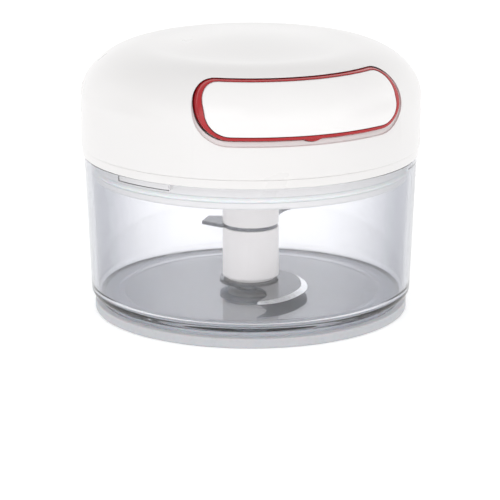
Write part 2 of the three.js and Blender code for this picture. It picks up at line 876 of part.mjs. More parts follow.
// Reel: a cord groove with a ratchet ring below it and a spring chamber above it
function makeReel() {
  const bore = postRadius + runningGap;
  const shape = new THREE.Shape();
  shape.absarc(0, 0, ratchetRadius, 0, 2 * Math.PI, false);
  const teeth = new THREE.Path();
  for (let i = 0; i < toothCount; i++) {
    const turn = pawlTipTurn - toothLeanTurn - pawlFreeTurn + (i * 360) / toothCount;
    const tip = polar(toothTip, turn);
    const root = polar(toothRoot, turn + toothLeanTurn);
    if (i === 0) teeth.moveTo(tip.x, tip.y);
    else teeth.lineTo(tip.x, tip.y);
    teeth.lineTo(root.x, root.y);
  }
  teeth.closePath();
  shape.holes.push(teeth);
  return prism(shape, ratchetLow, lowerFlangeHeight + seat, shellSides / 2)
    .add(ring(drumRadius - drumWall, reelRadius, lowerFlangeHeight, lowerFlangeHeight + flangeSheet))
    .add(ring(drumRadius - drumWall, drumRadius, lowerFlangeHeight, chamberLow))
    .add(ring(bore, reelRadius, upperFlangeHeight, chamberLow))
    .add(ring(bore, bore + reelHubWall, postEnd + reelHubGap, chamberLow))
    .add(ring(chamberRadius - chamberWall, chamberRadius, upperFlangeHeight, chamberLow + chamberHeight));
}

function makeSpring() {
  const outerReach = chamberRadius - chamberWall - springThick - pressGap;
  const steps = springTurns * springSteps;
  const side = (offset) =>
    Array.from({ length: steps + 1 }, (_, i) => {
      const radius = springInner + ((outerReach - springInner) * i) / steps;
      return polar(radius + offset, (i * 360) / springSteps);
    });
  const shape = new THREE.Shape([...side(springThick / 2), ...side(-springThick / 2).reverse()]);
  return prism(shape, chamberLow + runningGap, chamberLow + runningGap + springHeight);
}

const winding = ring(
  drumRadius + seat,
  windingRadius,
  lowerFlangeHeight + flangeSheet + seat,
  upperFlangeHeight - seat,
);
const springCoverBore = postRadius + 2 * runningGap;
const springCover = ring(springCoverBore, chamberRadius, chamberTop, stackTop);
lid.add(
  mesh("cord_reel", makeReel(), acetal),
  mesh("cord_winding", winding, cordWhite),
  mesh("rewind_spring", makeSpring(), springSteel),
  mesh("spring_cover", springCover, greyNylon),
);

// Drive: a carrier with a hexagonal socket below and two pawls on pins above
function makeCarrier() {
  const hex = driveAcrossCorners / 2 + socketGap;
  const boreLow = socketTop + socketRoof;
  const grooveLow = retainerLow - seat;
  const grooveHigh = retainerLow + retainerThick + seat;
  const groove = ring(carrierSleeve - retainerGrip, carrierSleeve + overrun, grooveLow, grooveHigh);
  let carrier = disc(carrierSleeve, carrierLow, discHeight + carrierDiscThick)
    .add(disc(carrierDisc, discHeight, discHeight + carrierDiscThick))
    .subtract(disc(hex, carrierLow - overrun, socketTop, hexSides))
    .subtract(disc(carrierBore, boreLow, discHeight + carrierDiscThick + overrun))
    .subtract(groove);
  for (const side of [1, -1]) {
    const peg = disc(pawlPin, discHeight, pawlHeight + pawlThick + runningGap, smallSides);
    carrier = carrier.add(peg.translate(side * pawlPivot, 0, 0));
  }
  return carrier;
}

function makePawl() {
  const outerTip = polar(pawlTipRadius, pawlTipTurn + toothLeanTurn);
  const innerTip = polar(pawlTipRadius - pawlTipWidth, pawlTipTurn + toothLeanTurn / 2);
  const shape = new THREE.Shape();
  shape.moveTo(pawlPivot - pawlHeelWidth / 2, 0);
  shape.lineTo(innerTip.x, innerTip.y);
  shape.lineTo(outerTip.x, outerTip.y);
  shape.lineTo(pawlPivot + pawlHeelWidth / 2, 0);
  const pawlTop = pawlHeight + pawlThick;
  const head = disc(pawlHead, pawlHeight, pawlTop, smallSides);
  const hole = disc(pawlPin + runningGap, pawlHeight - overrun, pawlTop + overrun, smallSides);
  return prism(shape, pawlHeight, pawlTop)
    .add(head.translate(pawlPivot, 0, 0))
    .subtract(hole.translate(pawlPivot, 0, 0));
}

const retainer = arcBlock(
  carrierSleeve - retainerGrip + seat,
  retainerRadius,
  retainerOpening / 2,
  360 - retainerOpening / 2,
  retainerLow,
  retainerLow + retainerThick,
  shellSides / 3,
);
const pawlB = mesh("pawl_b", makePawl(), springSteel);
pawlB.rotation.z = Math.PI;
lid.add(
  mesh("drive_carrier", makeCarrier(), greyNylon),
  mesh("drive_retainer", retainer, springSteel),
  mesh("pawl_a", makePawl(), springSteel),
  pawlB,
);

export default chopper;
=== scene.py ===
# %% [markdown]
# # A mini food chopper in Blender
# A clear bowl stands on a grey foot. In it a rotor with two curved blades turns on a pin, and over
# it sits a white domed lid with a red-rimmed handle. The solids of the model are already packed as
# a fixed frame, in metres, so each piece is modelled here where the frame says that it is.

# %% Load the frame
import math
import bmesh
import bpy
from mathutils import Matrix, Vector


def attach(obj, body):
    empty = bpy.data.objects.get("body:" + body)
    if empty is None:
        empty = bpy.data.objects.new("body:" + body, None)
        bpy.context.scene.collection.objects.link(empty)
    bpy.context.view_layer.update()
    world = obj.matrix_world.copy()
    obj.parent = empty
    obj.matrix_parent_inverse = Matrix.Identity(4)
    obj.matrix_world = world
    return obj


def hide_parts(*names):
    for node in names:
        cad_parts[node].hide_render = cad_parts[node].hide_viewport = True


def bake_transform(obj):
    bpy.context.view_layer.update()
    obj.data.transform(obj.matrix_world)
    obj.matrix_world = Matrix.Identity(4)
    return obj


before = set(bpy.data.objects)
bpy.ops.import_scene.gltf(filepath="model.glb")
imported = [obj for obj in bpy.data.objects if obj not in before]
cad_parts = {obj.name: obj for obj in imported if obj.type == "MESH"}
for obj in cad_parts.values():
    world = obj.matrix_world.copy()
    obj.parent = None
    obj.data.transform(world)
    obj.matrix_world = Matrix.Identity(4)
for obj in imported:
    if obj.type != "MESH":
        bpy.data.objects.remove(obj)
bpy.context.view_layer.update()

# %% [markdown]
# Sizes are written in millimetres, as on a drawing, and turned to metres once. The heights of the
# rotor and lid are kept as two numbers, so the sizes below can be compared with the solids. Angles
# of keys and clips are counted from the front, and the blades stand turned as in the photograph.

# %% Units and heights
MM = 0.001
ROTOR = 7.0
LID = 56.05
CORD = LID + 22.5
FRONT = -90
BLADE_TURN = math.radians(-20.5)
print("rotor from", ROTOR, "mm up, lid from", LID, "mm, cord at", CORD, "mm")

# %% [markdown]
# The camera looks from the front and a little from the left, 14 degrees above the table. A long
# lens a metre away gives the nearly parallel edges of the photograph. The object stands above the
# middle of the picture, which a small vertical shift does without tilting the camera.

# %% Camera
AZIMUTH = math.radians(-20.5)
ELEVATION = math.radians(13.6)
AIM = Vector((0, 0, 45)) * MM
away = Vector((
    math.sin(AZIMUTH) * math.cos(ELEVATION),
    -math.cos(AZIMUTH) * math.cos(ELEVATION),
    math.sin(ELEVATION),
))
lens = bpy.data.cameras.new("camera")
lens.sensor_width = 36
lens.lens = 205.06
lens.shift_x = -0.0014
lens.shift_y = -0.1394
lens.clip_end = 20
camera = bpy.data.objects.new("camera", lens)
camera.location = AIM + away
camera.rotation_euler = away.to_track_quat("Z", "Y").to_euler()
bpy.context.collection.objects.link(camera)
bpy.context.scene.camera = camera
print("camera at", [round(c, 3) for c in camera.location])

# %% [markdown]
# Round pieces are drawn as a section and spun, as on a lathe. A section is a list of places
# (radius, height, rounding). The corners are rounded with a vertex bevel while the section is
# still flat, because every moulded or turned edge has a small radius that catches the light.
# Smooth shading would blend the direction of a long straight face into the corner beside it, and
# on clear plastic that bends the view like a lens, so a point close to each end holds it straight.

# %% Rounded sections
def bevel_corners(bm, corners):
    for size in sorted({size for _, size in corners if size}):
        picked = [vert for vert, own in corners if own == size]
        bmesh.ops.bevel(
            bm, geom=picked, offset=size * MM, offset_type="OFFSET", affect="VERTICES",
            segments=4 if size < 1 else 8, profile=0.5, material=-1, clamp_overlap=False,
        )


def hold_edges(bm, near=0.15, longest=1.5):
    straights = [edge for edge in bm.edges if edge.calc_length() > longest * MM]
    made = bmesh.ops.subdivide_edges(bm, edges=straights, cuts=2)["geom_inner"]
    held = {item for item in made if isinstance(item, bmesh.types.BMVert)}
    places = []
    for vert in held:
        end = next(e.other_vert(vert) for e in vert.link_edges if e.other_vert(vert) not in held)
        places.append((vert, end.co + (vert.co - end.co).normalized() * near * MM))
    for vert, spot in places:
        vert.co = spot


def draw_section(bm, places, closed):
    corners = []
    for place in places:
        vert = bm.verts.new(Vector((place[0], 0, place[1])) * MM)
        corners.append((vert, place[2] if len(place) > 2 else 0))
    pairs = list(zip(corners, corners[1:] + corners[:1]))
    for (start, _), (end, _) in pairs if closed else pairs[:-1]:
        if start.co.x or end.co.x:
            bm.edges.new((start, end))
    bevel_corners(bm, corners)
    hold_edges(bm)


# %% [markdown]
# The spin goes all the way round with merged ends. Where the section touches the axis it leaves
# a pole, so doubles are merged before the normals are turned outwards.

# %% Spinning a section
def spin_section(places, closed=True, steps=128, turn=360, start=0):
    bm = bmesh.new()
    draw_section(bm, places, closed)
    if start:
        turned = Matrix.Rotation(math.radians(start), 3, "Z")
        bmesh.ops.rotate(bm, verts=bm.verts, cent=(0, 0, 0), matrix=turned)
    whole = turn == 360
    cap = [] if whole else bmesh.ops.contextual_create(bm, geom=bm.edges[:])["faces"]
    bmesh.ops.spin(
        bm, geom=bm.edges[:] + bm.verts[:] + cap, cent=(0, 0, 0), axis=(0, 0, 1),
        angle=math.radians(turn), steps=steps, use_merge=whole,
    )
    return tidy(bm)


def tidy(bm):
    bmesh.ops.remove_doubles(bm, verts=bm.verts, dist=0.000002)
    bmesh.ops.dissolve_degenerate(bm, edges=bm.edges, dist=0.000001)
    bmesh.ops.recalc_face_normals(bm, faces=bm.faces)
    return bm


# %% [markdown]
# A bmesh becomes an object that rides on a body of the frame, stands for its solids and takes its
# finishes as materials. Faces are shaded smooth, and edges sharper than 35 degrees stay crisp.

# %% From mesh to piece
def make_object(name, bm):
    mesh = bpy.data.meshes.new(name)
    bm.to_mesh(mesh)
    bm.free()
    piece = bpy.data.objects.new(name, mesh)
    bpy.context.collection.objects.link(piece)
    return piece


def shade(piece, angle=35):
    piece.data.shade_smooth()
    piece.data.set_sharp_from_angle(angle=math.radians(angle))


def add_piece(name, bm, finishes, body, nodes=(), angle=35):
    piece = make_object(name, bm)
    shade(piece, angle)
    for finish in finishes if isinstance(finishes, list) else [finishes]:
        piece.data.materials.append(finish)
    if body:
        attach(piece, body)
    if nodes:
        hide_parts(*nodes)
    print(f"{name}: {len(piece.data.polygons)} faces on {body}")
    return piece


# %% [markdown]
# Holes and pockets are cut with the exact Boolean, which leaves clean closed solids. The result is
# baked straight away, so no modifier is left to run later. Merging its doubles can drop a sliver,
# and the pinhole that this leaves is filled.

# %% Cutting and joining
def combine(bm, tools, operation="DIFFERENCE"):
    target = make_object("target", bm)
    for tool in tools:
        cutter = make_object("cutter", tool)
        step = target.modifiers.new("step", "BOOLEAN")
        step.solver = "EXACT"
        step.operation = operation
        step.object = cutter
        graph = bpy.context.evaluated_depsgraph_get()
        baked = bpy.data.meshes.new_from_object(target.evaluated_get(graph))
        target.modifiers.clear()
        target.data = baked
        bpy.data.objects.remove(cutter)
    result = bmesh.new()
    result.from_mesh(target.data)
    bpy.data.objects.remove(target)
    bmesh.ops.remove_doubles(result, verts=result.verts, dist=0.000001)
    if bmesh.ops.holes_fill(result, edges=result.edges, sides=6)["faces"]:
        bmesh.ops.recalc_face_normals(result, faces=result.faces)
    return result


def place(bm, offset=(0, 0, 0), turn=0, axis="Z"):
    turned = Matrix.Rotation(math.radians(turn), 3, axis)
    bmesh.ops.rotate(bm, verts=bm.verts, cent=(0, 0, 0), matrix=turned)
    bmesh.ops.translate(bm, verts=bm.verts, vec=Vector(offset) * MM)
    return bm


# %% [markdown]
# Colours are read off the real finish as sRGB hex values and turned to the linear values that
# shaders work with. One small function adds a node, sets it up and links its inputs.

# %% Colour and node helpers
def linear(code):
    shares = [int(code[i:i + 2], 16) / 255 for i in (1, 3, 5)]
    return [s / 12.92 if s <= 0.04045 else ((s + 0.055) / 1.055) ** 2.4 for s in shares] + [1]


def add_node(tree, kind, inputs=None, **settings):
    node = tree.nodes.new(kind)
    for key, value in settings.items():
        setattr(node, key, value)
    for key, value in (inputs or {}).items():
        if isinstance(value, bpy.types.NodeSocket):
            tree.links.new(value, node.inputs[key])
        else:
            node.inputs[key].default_value = value
    return node


# %% [markdown]
# Every finish starts the same way: one Principled shader, with its pattern on Object coordinates.
# Objects here are in metres, so a noise of a given grain has a scale of one over that grain in
# metres.

# %% The start of a finish
def new_finish(name, **sockets):
    finish = bpy.data.materials.new(name)
    finish.use_nodes = True
    tree = finish.node_tree
    shader = tree.nodes["Principled BSDF"]
    for key, value in sockets.items():
        shader.inputs[key.replace("_", " ")].default_value = value
    where = add_node(tree, "ShaderNodeTexCoord").outputs["Object"]
    return finish, tree, shader, where


def grain(size):
    return 1 / (size * MM)


# %% [markdown]
# White ABS is moulded in a satin tool. Up close it has a very fine orange peel, and its gloss
# changes a little from place to place where hands have rubbed it. The peel of the real part is
# about 0.1 mm, too fine for the picture, so it is drawn at 0.6 mm and kept very shallow. The
# handle's face is the same plastic from a polished tool. The rotor is polypropylene, which is
# whiter, with a soft, slightly waxy gloss. One function gives all such skins: a peel of some size
# and depth, a gloss between two values, and a tint between two colours.

# %% White ABS and polypropylene, moulded
def add_peel(tree, shader, where, size, depth, vary, low, high):
    peel = add_node(tree, "ShaderNodeTexNoise", {
        "Vector": where, "Scale": grain(size), "Detail": 3.0,
    })
    bump = add_node(tree, "ShaderNodeBump", {
        "Height": peel.outputs["Fac"], "Strength": 0.5, "Distance": depth * MM,
    })
    tree.links.new(bump.outputs["Normal"], shader.inputs["Normal"])
    rub = add_node(tree, "ShaderNodeTexNoise", {
        "Vector": where, "Scale": grain(vary), "Detail": 4.0,
    })
    gloss = add_node(tree, "ShaderNodeMapRange", {
        "Value": rub.outputs["Fac"], "From Min": 0.3, "From Max": 0.7,
        "To Min": low, "To Max": high,
    })
    tree.links.new(gloss.outputs["Result"], shader.inputs["Roughness"])
    return rub


def add_tint(tree, shader, source, low, high):
    tint = add_node(tree, "ShaderNodeMix", {
        0: source, 6: linear(low), 7: linear(high),
    }, data_type="RGBA")
    tree.links.new(tint.outputs[2], shader.inputs["Base Color"])


def skinned(name, codes, peel, gloss, vary=25, **sockets):
    finish, tree, shader, where = new_finish(name, **sockets)
    rub = add_peel(tree, shader, where, *peel, vary, *gloss)
    add_tint(tree, shader, rub.outputs["Fac"], *codes)
    return finish


white_abs = skinned(
    "white ABS satin moulding", ("#dcdad9", "#dedddd"), (0.6, 0.01), (0.27, 0.33), IOR=1.53,
)
white_gloss = skinned(
    "white ABS gloss moulding", ("#e3e1e1", "#e6e5e4"), (0.8, 0.006), (0.16, 0.22), IOR=1.53,
)
white_pp = skinned(
    "white polypropylene moulding", ("#f3efed", "#f6f3f2"), (0.5, 0.008), (0.3, 0.38), 12, IOR=1.49,
)
print("finishes:", white_abs.name, white_gloss.name, white_pp.name, sep=", ")

# %% [markdown]
# The handle's frame is glossy red ABS, self-coloured and moulded in a polished tool, so its
# highlights are small and bright and the colour is deep in the shaded groove.

# %% Red ABS, glossy moulding
red_abs = skinned(
    "red ABS gloss moulding", ("#9c0711", "#aa0f19"), (0.8, 0.006), (0.14, 0.22), 18, IOR=1.53,
)
print("finish:", red_abs.name)

# %% [markdown]
# The bowl is clear SAN, a styrene copolymer with a high refractive index of 1.57. The wall is
# polished on both sides, with faint flow waves from the moulding. Washing leaves very fine marks,
# which give it a soft roughness that varies. Seen along the wall the light has a long way through
# the plastic, and more of it is lost at every surface, so the sides of the bowl look grey. The
# absorption gives the first of these, and a tint that grows as the wall turns away the second.
# Light that a renderer sends out from a lamp or a matt surface can't find its way through curved
# clear plastic, so for such rays the plastic is simply open, and the inside isn't left in the dark.

# %% Clear SAN, polished
clear_san, tree, shader, where = new_finish(
    "clear SAN polished", IOR=1.57, Transmission_Weight=1.0,
)
ray = add_node(tree, "ShaderNodeLightPath").outputs
lit = add_node(tree, "ShaderNodeMath", {
    0: ray["Is Shadow Ray"], 1: ray["Is Diffuse Ray"],
}, operation="MAXIMUM")
solid = add_node(tree, "ShaderNodeMath", {0: 1.0, 1: lit.outputs[0]}, operation="SUBTRACT")
tree.links.new(solid.outputs[0], shader.inputs["Alpha"])
turned = add_node(tree, "ShaderNodeLayerWeight").outputs["Facing"]
slant = add_node(tree, "ShaderNodeMapRange", {
    "Value": turned, "From Min": 0.05, "From Max": 0.75,
}, interpolation_type="SMOOTHSTEP")
add_tint(tree, shader, slant.outputs["Result"], "#fcfcfe", "#a6a8b0")
absorb = add_node(tree, "ShaderNodeVolumeAbsorption", {
    "Color": linear("#dfe4ec"), "Density": 30.0,
})
tree.links.new(absorb.outputs["Volume"], tree.nodes["Material Output"].inputs["Volume"])
flow = add_node(tree, "ShaderNodeTexNoise", {"Vector": where, "Scale": grain(30), "Detail": 1.0})
bump = add_node(tree, "ShaderNodeBump", {
    "Height": flow.outputs["Fac"], "Strength": 0.3, "Distance": 0.15 * MM,
})
tree.links.new(bump.outputs["Normal"], shader.inputs["Normal"])
marks = add_node(tree, "ShaderNodeTexNoise", {"Vector": where, "Scale": grain(9), "Detail": 5.0})
haze = add_node(tree, "ShaderNodeMapRange", {
    "Value": marks.outputs["Fac"], "From Min": 0.35, "From Max": 0.75,
    "To Min": 0.015, "To Max": 0.06,
})
tree.links.new(haze.outputs["Result"], shader.inputs["Roughness"])
print("finish:", clear_san.name)

# %% [markdown]
# The foot is translucent grey silicone, cast with a matt skin that dust gives a fine speckle. Light
# gets in at its edge, so the outer centimetre looks lighter than the middle. The seal is the same
# rubber without the grey pigment.

# %% Grey and milky silicone, matt
grey_silicone, tree, shader, where = new_finish(
    "grey silicone matt cast", IOR=1.42, Subsurface_Weight=0.25, Subsurface_Scale=0.003,
)
rub = add_peel(tree, shader, where, 0.5, 0.02, 1.5, 0.5, 0.65)
flat = add_node(tree, "ShaderNodeVectorMath", {0: where, 1: (1, 1, 0)}, operation="MULTIPLY")
reach = add_node(tree, "ShaderNodeVectorMath", {0: flat.outputs["Vector"]}, operation="LENGTH")
outer = add_node(tree, "ShaderNodeMapRange", {
    "Value": reach.outputs["Value"], "From Min": 42 * MM, "From Max": 46 * MM,
}, interpolation_type="SMOOTHSTEP")
speck = add_node(tree, "ShaderNodeMapRange", {
    "Value": rub.outputs["Fac"], "From Min": 0.3, "From Max": 0.7,
    "To Min": -0.15, "To Max": 0.15,
}, clamp=False)
both = add_node(tree, "ShaderNodeMath", {
    0: outer.outputs["Result"], 1: speck.outputs["Result"],
}, operation="ADD")
add_tint(tree, shader, both.outputs[0], "#95979b", "#b9bbbf")
milky_silicone = skinned(
    "milky silicone matt cast", ("#e2e1e1", "#ebebea"), (0.5, 0.02), (0.45, 0.6), 1.5,
    IOR=1.42, Subsurface_Weight=0.3, Subsurface_Scale=0.003,
)
print("finishes:", grey_silicone.name, milky_silicone.name, sep=", ")

# %% [markdown]
# Stainless blade stock is rolled and polished. The rolling leaves long hair lines, drawn here by
# stretching a noise along the blade. The face's steel is painted dark, a painted reflection, and
# the ground bevel is painted bright, a painted highlight, with short marks across it. The strip of
# springs and pawls is made the same way, but isn't turned with the blades.

# %% Stainless steel, polished face and ground bevel, with painted reflection and highlight
def brushed(name, code, along, across, low, high, turn=BLADE_TURN, to="#b4b7bb"):
    finish, tree, shader, where = new_finish(name, Metallic=1.0)
    laid = add_node(tree, "ShaderNodeMapping", {
        "Vector": where, "Rotation": (0, 0, -turn),
        "Scale": (grain(across), grain(along), grain(across)),
    })
    hair = add_node(tree, "ShaderNodeTexNoise", {
        "Vector": laid.outputs["Vector"], "Scale": 1.0, "Detail": 3.0,
    })
    gloss = add_node(tree, "ShaderNodeMapRange", {
        "Value": hair.outputs["Fac"], "From Min": 0.3, "From Max": 0.7,
        "To Min": low, "To Max": high,
    })
    tree.links.new(gloss.outputs["Result"], shader.inputs["Roughness"])
    bump = add_node(tree, "ShaderNodeBump", {
        "Height": hair.outputs["Fac"], "Strength": 0.4, "Distance": 0.01 * MM,
    })
    tree.links.new(bump.outputs["Normal"], shader.inputs["Normal"])
    add_tint(tree, shader, hair.outputs["Fac"], code, to)
    return finish


# The face's dark colour is a painted reflection, and the bevel's bright colour is a painted
# highlight.
blade_face_painted_dark = brushed("stainless steel polished, painted dark reflection", "#5d5f64", 14, 0.25, 0.14, 0.22, to="#707277")
blade_bevel_painted_highlight = brushed("stainless steel ground bevel, painted highlight", "#e2e3e5", 0.3, 3, 0.22, 0.36, to="#f2f3f4")
spring_strip = brushed("spring steel tempered strip", "#8b8e93", 10, 0.2, 0.28, 0.4, turn=0)
print("finishes:", blade_face_painted_dark.name, blade_bevel_painted_highlight.name, spring_strip.name, sep=", ")

# %% [markdown]
# Screws, washers, pin and eyelet are bright zinc plate: a bluish silver with soft spots where the
# passivation dried.

# %% Zinc plate
zinc_plate = skinned(
    "bright zinc plate", ("#aeb3bb", "#c8cacd"), (0.3, 0.006), (0.28, 0.45), 2, Metallic=1.0,
)
print("finish:", zinc_plate.name)

# %% [markdown]
# Inside the lid the running parts are natural acetal, an off-white plastic that looks a little
# waxy, and grey nylon, which is duller. Both are moulded in plain, fine-spark tools.

# %% Acetal and nylon
acetal = skinned(
    "natural acetal", ("#e6e2d7", "#efece3"), (0.5, 0.012), (0.38, 0.5), 8, IOR=1.48,
)
grey_nylon = skinned(
    "grey nylon", ("#969ca2", "#a6abb0"), (0.4, 0.02), (0.45, 0.6), 6, IOR=1.53,
)
print("finishes:", acetal.name, grey_nylon.name, sep=", ")

# %% [markdown]
# The cord is a polyester braid of eight strands. Two wave patterns cross on its own UV map, which
# runs along the cord and round it, and make the diamonds of the braid.

# %% Braided polyester
braid, tree, shader, where = new_finish("braided polyester cord", IOR=1.5, Roughness=0.75)
uv = add_node(tree, "ShaderNodeTexCoord").outputs["UV"]
strands = []
for lean in (1, -1):
    laid = add_node(tree, "ShaderNodeMapping", {
        "Vector": uv, "Rotation": (0, 0, lean * math.radians(45)),
    })
    wave = add_node(tree, "ShaderNodeTexWave", {"Vector": laid.outputs["Vector"], "Scale": 1.4})
    strands.append(wave.outputs["Fac"])
crossed = add_node(tree, "ShaderNodeMath", {0: strands[0], 1: strands[1]}, operation="MAXIMUM")
bump = add_node(tree, "ShaderNodeBump", {
    "Height": crossed.outputs[0], "Strength": 0.9, "Distance": 0.12 * MM,
})
tree.links.new(bump.outputs["Normal"], shader.inputs["Normal"])
add_tint(tree, shader, crossed.outputs[0], "#cfccc2", "#efede6")
print("finish:", braid.name)

# %% [markdown]
# ## The bowl
# The wall of the bowl is 2.5 mm thick and leans out a little from foot to rim, so that it leaves
# its mould. Near the foot it steps in to a neck. Light bends through these edges, so the section
# carries every radius, and a groove underneath takes the key of the silicone foot. Three pockets in
# the rim, each a little wider than a key of the lid, are cut last.

# %% Bowl
KEY_MIDDLES = (60, 180, 300)
KEY_WIDTH = 22
POCKET_WIDTH = 22.6
bowl = spin_section([
    (0, 3.45), (44.6, 3.45), (44.6, 5.1), (46.8, 5.1), (46.8, 3.45),
    (52.8, 3.45, 0.3), (52.8, 5.3, 0.2), (56.1, 5.3, 2.8),
    (58.3, 56, 0.5), (55.8, 56, 0.4), (53.76, 7, 3),
    (5.5, 7, 0.5), (5.5, 7.8, 0.3), (2.6, 7.8, 0.15), (2.6, 4.8), (0, 4.8),
], closed=False, steps=160)
pockets = [
    spin_section(
        [(54.4, 53.6), (57.1, 53.6, 0.3), (57.1, 57), (54.4, 57)],
        turn=POCKET_WIDTH, start=middle - POCKET_WIDTH / 2 + FRONT, steps=16,
    )
    for middle in KEY_MIDDLES
]
add_piece("clear_bowl", combine(bowl, pockets), clear_san, "bowl_body", ["bowl"], angle=30)

# %% [markdown]
# The foot is a silicone disc with rounded edges. A ring on its top is pressed into the groove of
# the bowl. The pin that the rotor turns on is a bright steel rod with a round end.

# %% Foot and pin
foot = spin_section([
    (0, 0), (54.9, 0, 0.7), (54.9, 3.4, 0.5), (46.7, 3.4), (46.7, 4.8, 0.3), (44.7, 4.8, 0.3),
    (44.7, 3.4), (0, 3.4),
], closed=False)
add_piece("silicone_foot", foot, grey_silicone, "bowl_body", ["base_pad"])
pin = spin_section([(0, 4.85), (2.5, 4.85, 0.2), (2.5, 24, 2.45), (0, 24)], closed=False, steps=48)
add_piece("rotor_pin", pin, zinc_plate, "bowl_body", ["centre_pin"])

# %% [markdown]
# ## The rotor
# A white tube in two lengths clamps the upper blade at its seam, and a thin foot below clamps the
# lower blade. The tube's edges are only slightly broken, so the seam shows as a fine dark line. On
# top stands the hexagon that the drive turns. An acetal core holds the stack together, and a bush
# in it runs on the pin.

# %% Rotor tube, core and bush
TUBE_RADIUS = 9.9
TUBE_BORE = 5.95
sleeve = spin_section([
    (TUBE_BORE, ROTOR + 3.35), (8.6, ROTOR + 3.35, 0.2), (8.6, ROTOR + 4.35, 0.2),
    (TUBE_RADIUS, ROTOR + 4.35, 0.3), (TUBE_RADIUS, ROTOR + 22.05, 0.25),
    (TUBE_BORE, ROTOR + 22.05),
], steps=96)
add_piece("rotor_sleeve", sleeve, white_pp, "rotor", ["hub_sleeve"])
head = spin_section([
    (0, 38.4), (TUBE_BORE, 38.4), (TUBE_BORE, 30.35), (TUBE_RADIUS, 30.35, 0.25),
    (TUBE_RADIUS, 46.4, 0.4), (0, 46.4),
], closed=False, steps=96)
hexagon = bmesh.new()
bmesh.ops.create_cone(
    hexagon, cap_ends=True, segments=6, radius1=6.9 * MM, radius2=6.9 * MM, depth=9 * MM,
)
place(hexagon, (0, 0, 49.9))
tops = [e for e in hexagon.edges if all(v.co.z > 54 * MM for v in e.verts)]
bmesh.ops.bevel(
    hexagon, geom=tops, offset=0.9 * MM, offset_type="OFFSET", affect="EDGES", segments=2,
    profile=0.5, material=-1,
)
head = combine(head, [place(hexagon, turn=90)], "UNION")
add_piece("rotor_head", head, white_pp, "rotor", ["hub_head"])
core = spin_section([
    (3.1, 8.1), (8, 8.1, 0.3), (8, 9.05), (5.8, 9.05), (5.8, 38.35), (0, 38.35),
    (0, 36.7), (4.5, 36.7), (4.5, 18), (3.1, 18),
], steps=64)
add_piece("rotor_core", core, acetal, "rotor", ["hub_core"])
bush = spin_section([(2.8, 11.35, 0.2), (4.4, 11.35), (4.4, 20.3), (2.8, 20.3, 0.2)], steps=48)
add_piece("rotor_bush", bush, acetal, "rotor", ["hub_bush"])

# %% [markdown]
# A blade starts as its outline: a smooth curve through a few places down the outer edge, a ring
# round the tube, and back up the hollow edge. The convex edge is ground, so the top outline is
# drawn a little inside the bottom one there, widest in the middle of the edge and running out at
# both ends. Bridging the outlines gives the blade and its bevel in one go. The outlines are given
# in shares of the blade's reach, and the first points of each are the ground edge.

# %% Blade outlines
BLADE_REACH = 33
BLADE_THICK = 1.2
EDGE_THICK = 0.2
BEVEL_WIDTH = 2.2


def smooth_curve(places, steps=10):
    points = [Vector((x, y, 0)) for x, y in places]
    padded = [points[0]] + points + [points[-1]]
    curve = []
    for a, b, c, d in zip(padded, padded[1:], padded[2:], padded[3:]):
        for i in range(steps):
            t = i / steps
            ahead = (c - a) / 2
            back = (d - b) / 2
            curve.append(
                b * (2 * t**3 - 3 * t**2 + 1) + c * (3 * t**2 - 2 * t**3)
                + ahead * (t**3 - 2 * t**2 + t) + back * (t**3 - t**2)
            )
    return curve + [points[-1]]


def ground_arm(outline, ground, low):
    bm = bmesh.new()
    loops = []
    count = len(outline)
    for height, bevelled in ((0, False), (EDGE_THICK, False), (BLADE_THICK, True)):
        verts = []
        for i, point in enumerate(outline):
            inward = Vector((0, 0, 0))
            if bevelled and i < ground:
                along = (outline[(i + 1) % count] - outline[i - 1]).normalized()
                bulge = math.sin(math.pi * min(1, (i + 0.5) / ground)) ** 0.5
                inward = Vector((-along.y, along.x, 0)) * BEVEL_WIDTH * bulge
            spot = point * BLADE_REACH + inward
            verts.append(bm.verts.new(Vector((spot.x, spot.y, low + height)) * MM))
        loops.append([bm.edges.new(pair) for pair in zip(verts, verts[1:] + verts[:1])])
    for lower, upper in zip(loops, loops[1:]):
        bmesh.ops.bridge_loops(bm, edges=lower + upper)
    for edges in (loops[0], loops[-1]):
        bmesh.ops.triangle_fill(bm, edges=edges, use_beauty=True)
    return tidy(bm)


# %% [markdown]
# Each blade is stamped in one with the ring that the tube clamps. So the arm and the ring are
# joined, the bore is cut, and the whole is turned to where the blade stands. Faces that lean are
# the ground bevel and get the second steel, painted bright as a painted highlight; the rest gets
# the face's steel, painted dark as a painted reflection.

# %% Blades
def make_blade(name, edge, rest, ground, ring_radius, low, node):
    outline = smooth_curve(edge) + rest
    arm = ground_arm(outline, ground, low)
    top = low + BLADE_THICK
    ring = spin_section([(2, low), (ring_radius, low), (ring_radius, top), (2, top)], steps=96)
    hole = spin_section([
        (0, low - 1), (TUBE_BORE, low - 1), (TUBE_BORE, low + 3), (0, low + 3),
    ], closed=False, steps=96)
    blade = combine(combine(arm, [ring], "UNION"), [hole])
    place(blade, turn=math.degrees(BLADE_TURN))
    piece = add_piece(name, blade, [blade_face_painted_dark, blade_bevel_painted_highlight], "rotor", [node], angle=20)
    # Leaning faces get the bevel steel, whose bright colour is a painted highlight.
    for face in piece.data.polygons:
        if 0.05 < face.normal.z < 0.97:
            face.material_index = 1
    return piece


def points(places):
    return [Vector((x, y, 0)) for x, y in places]


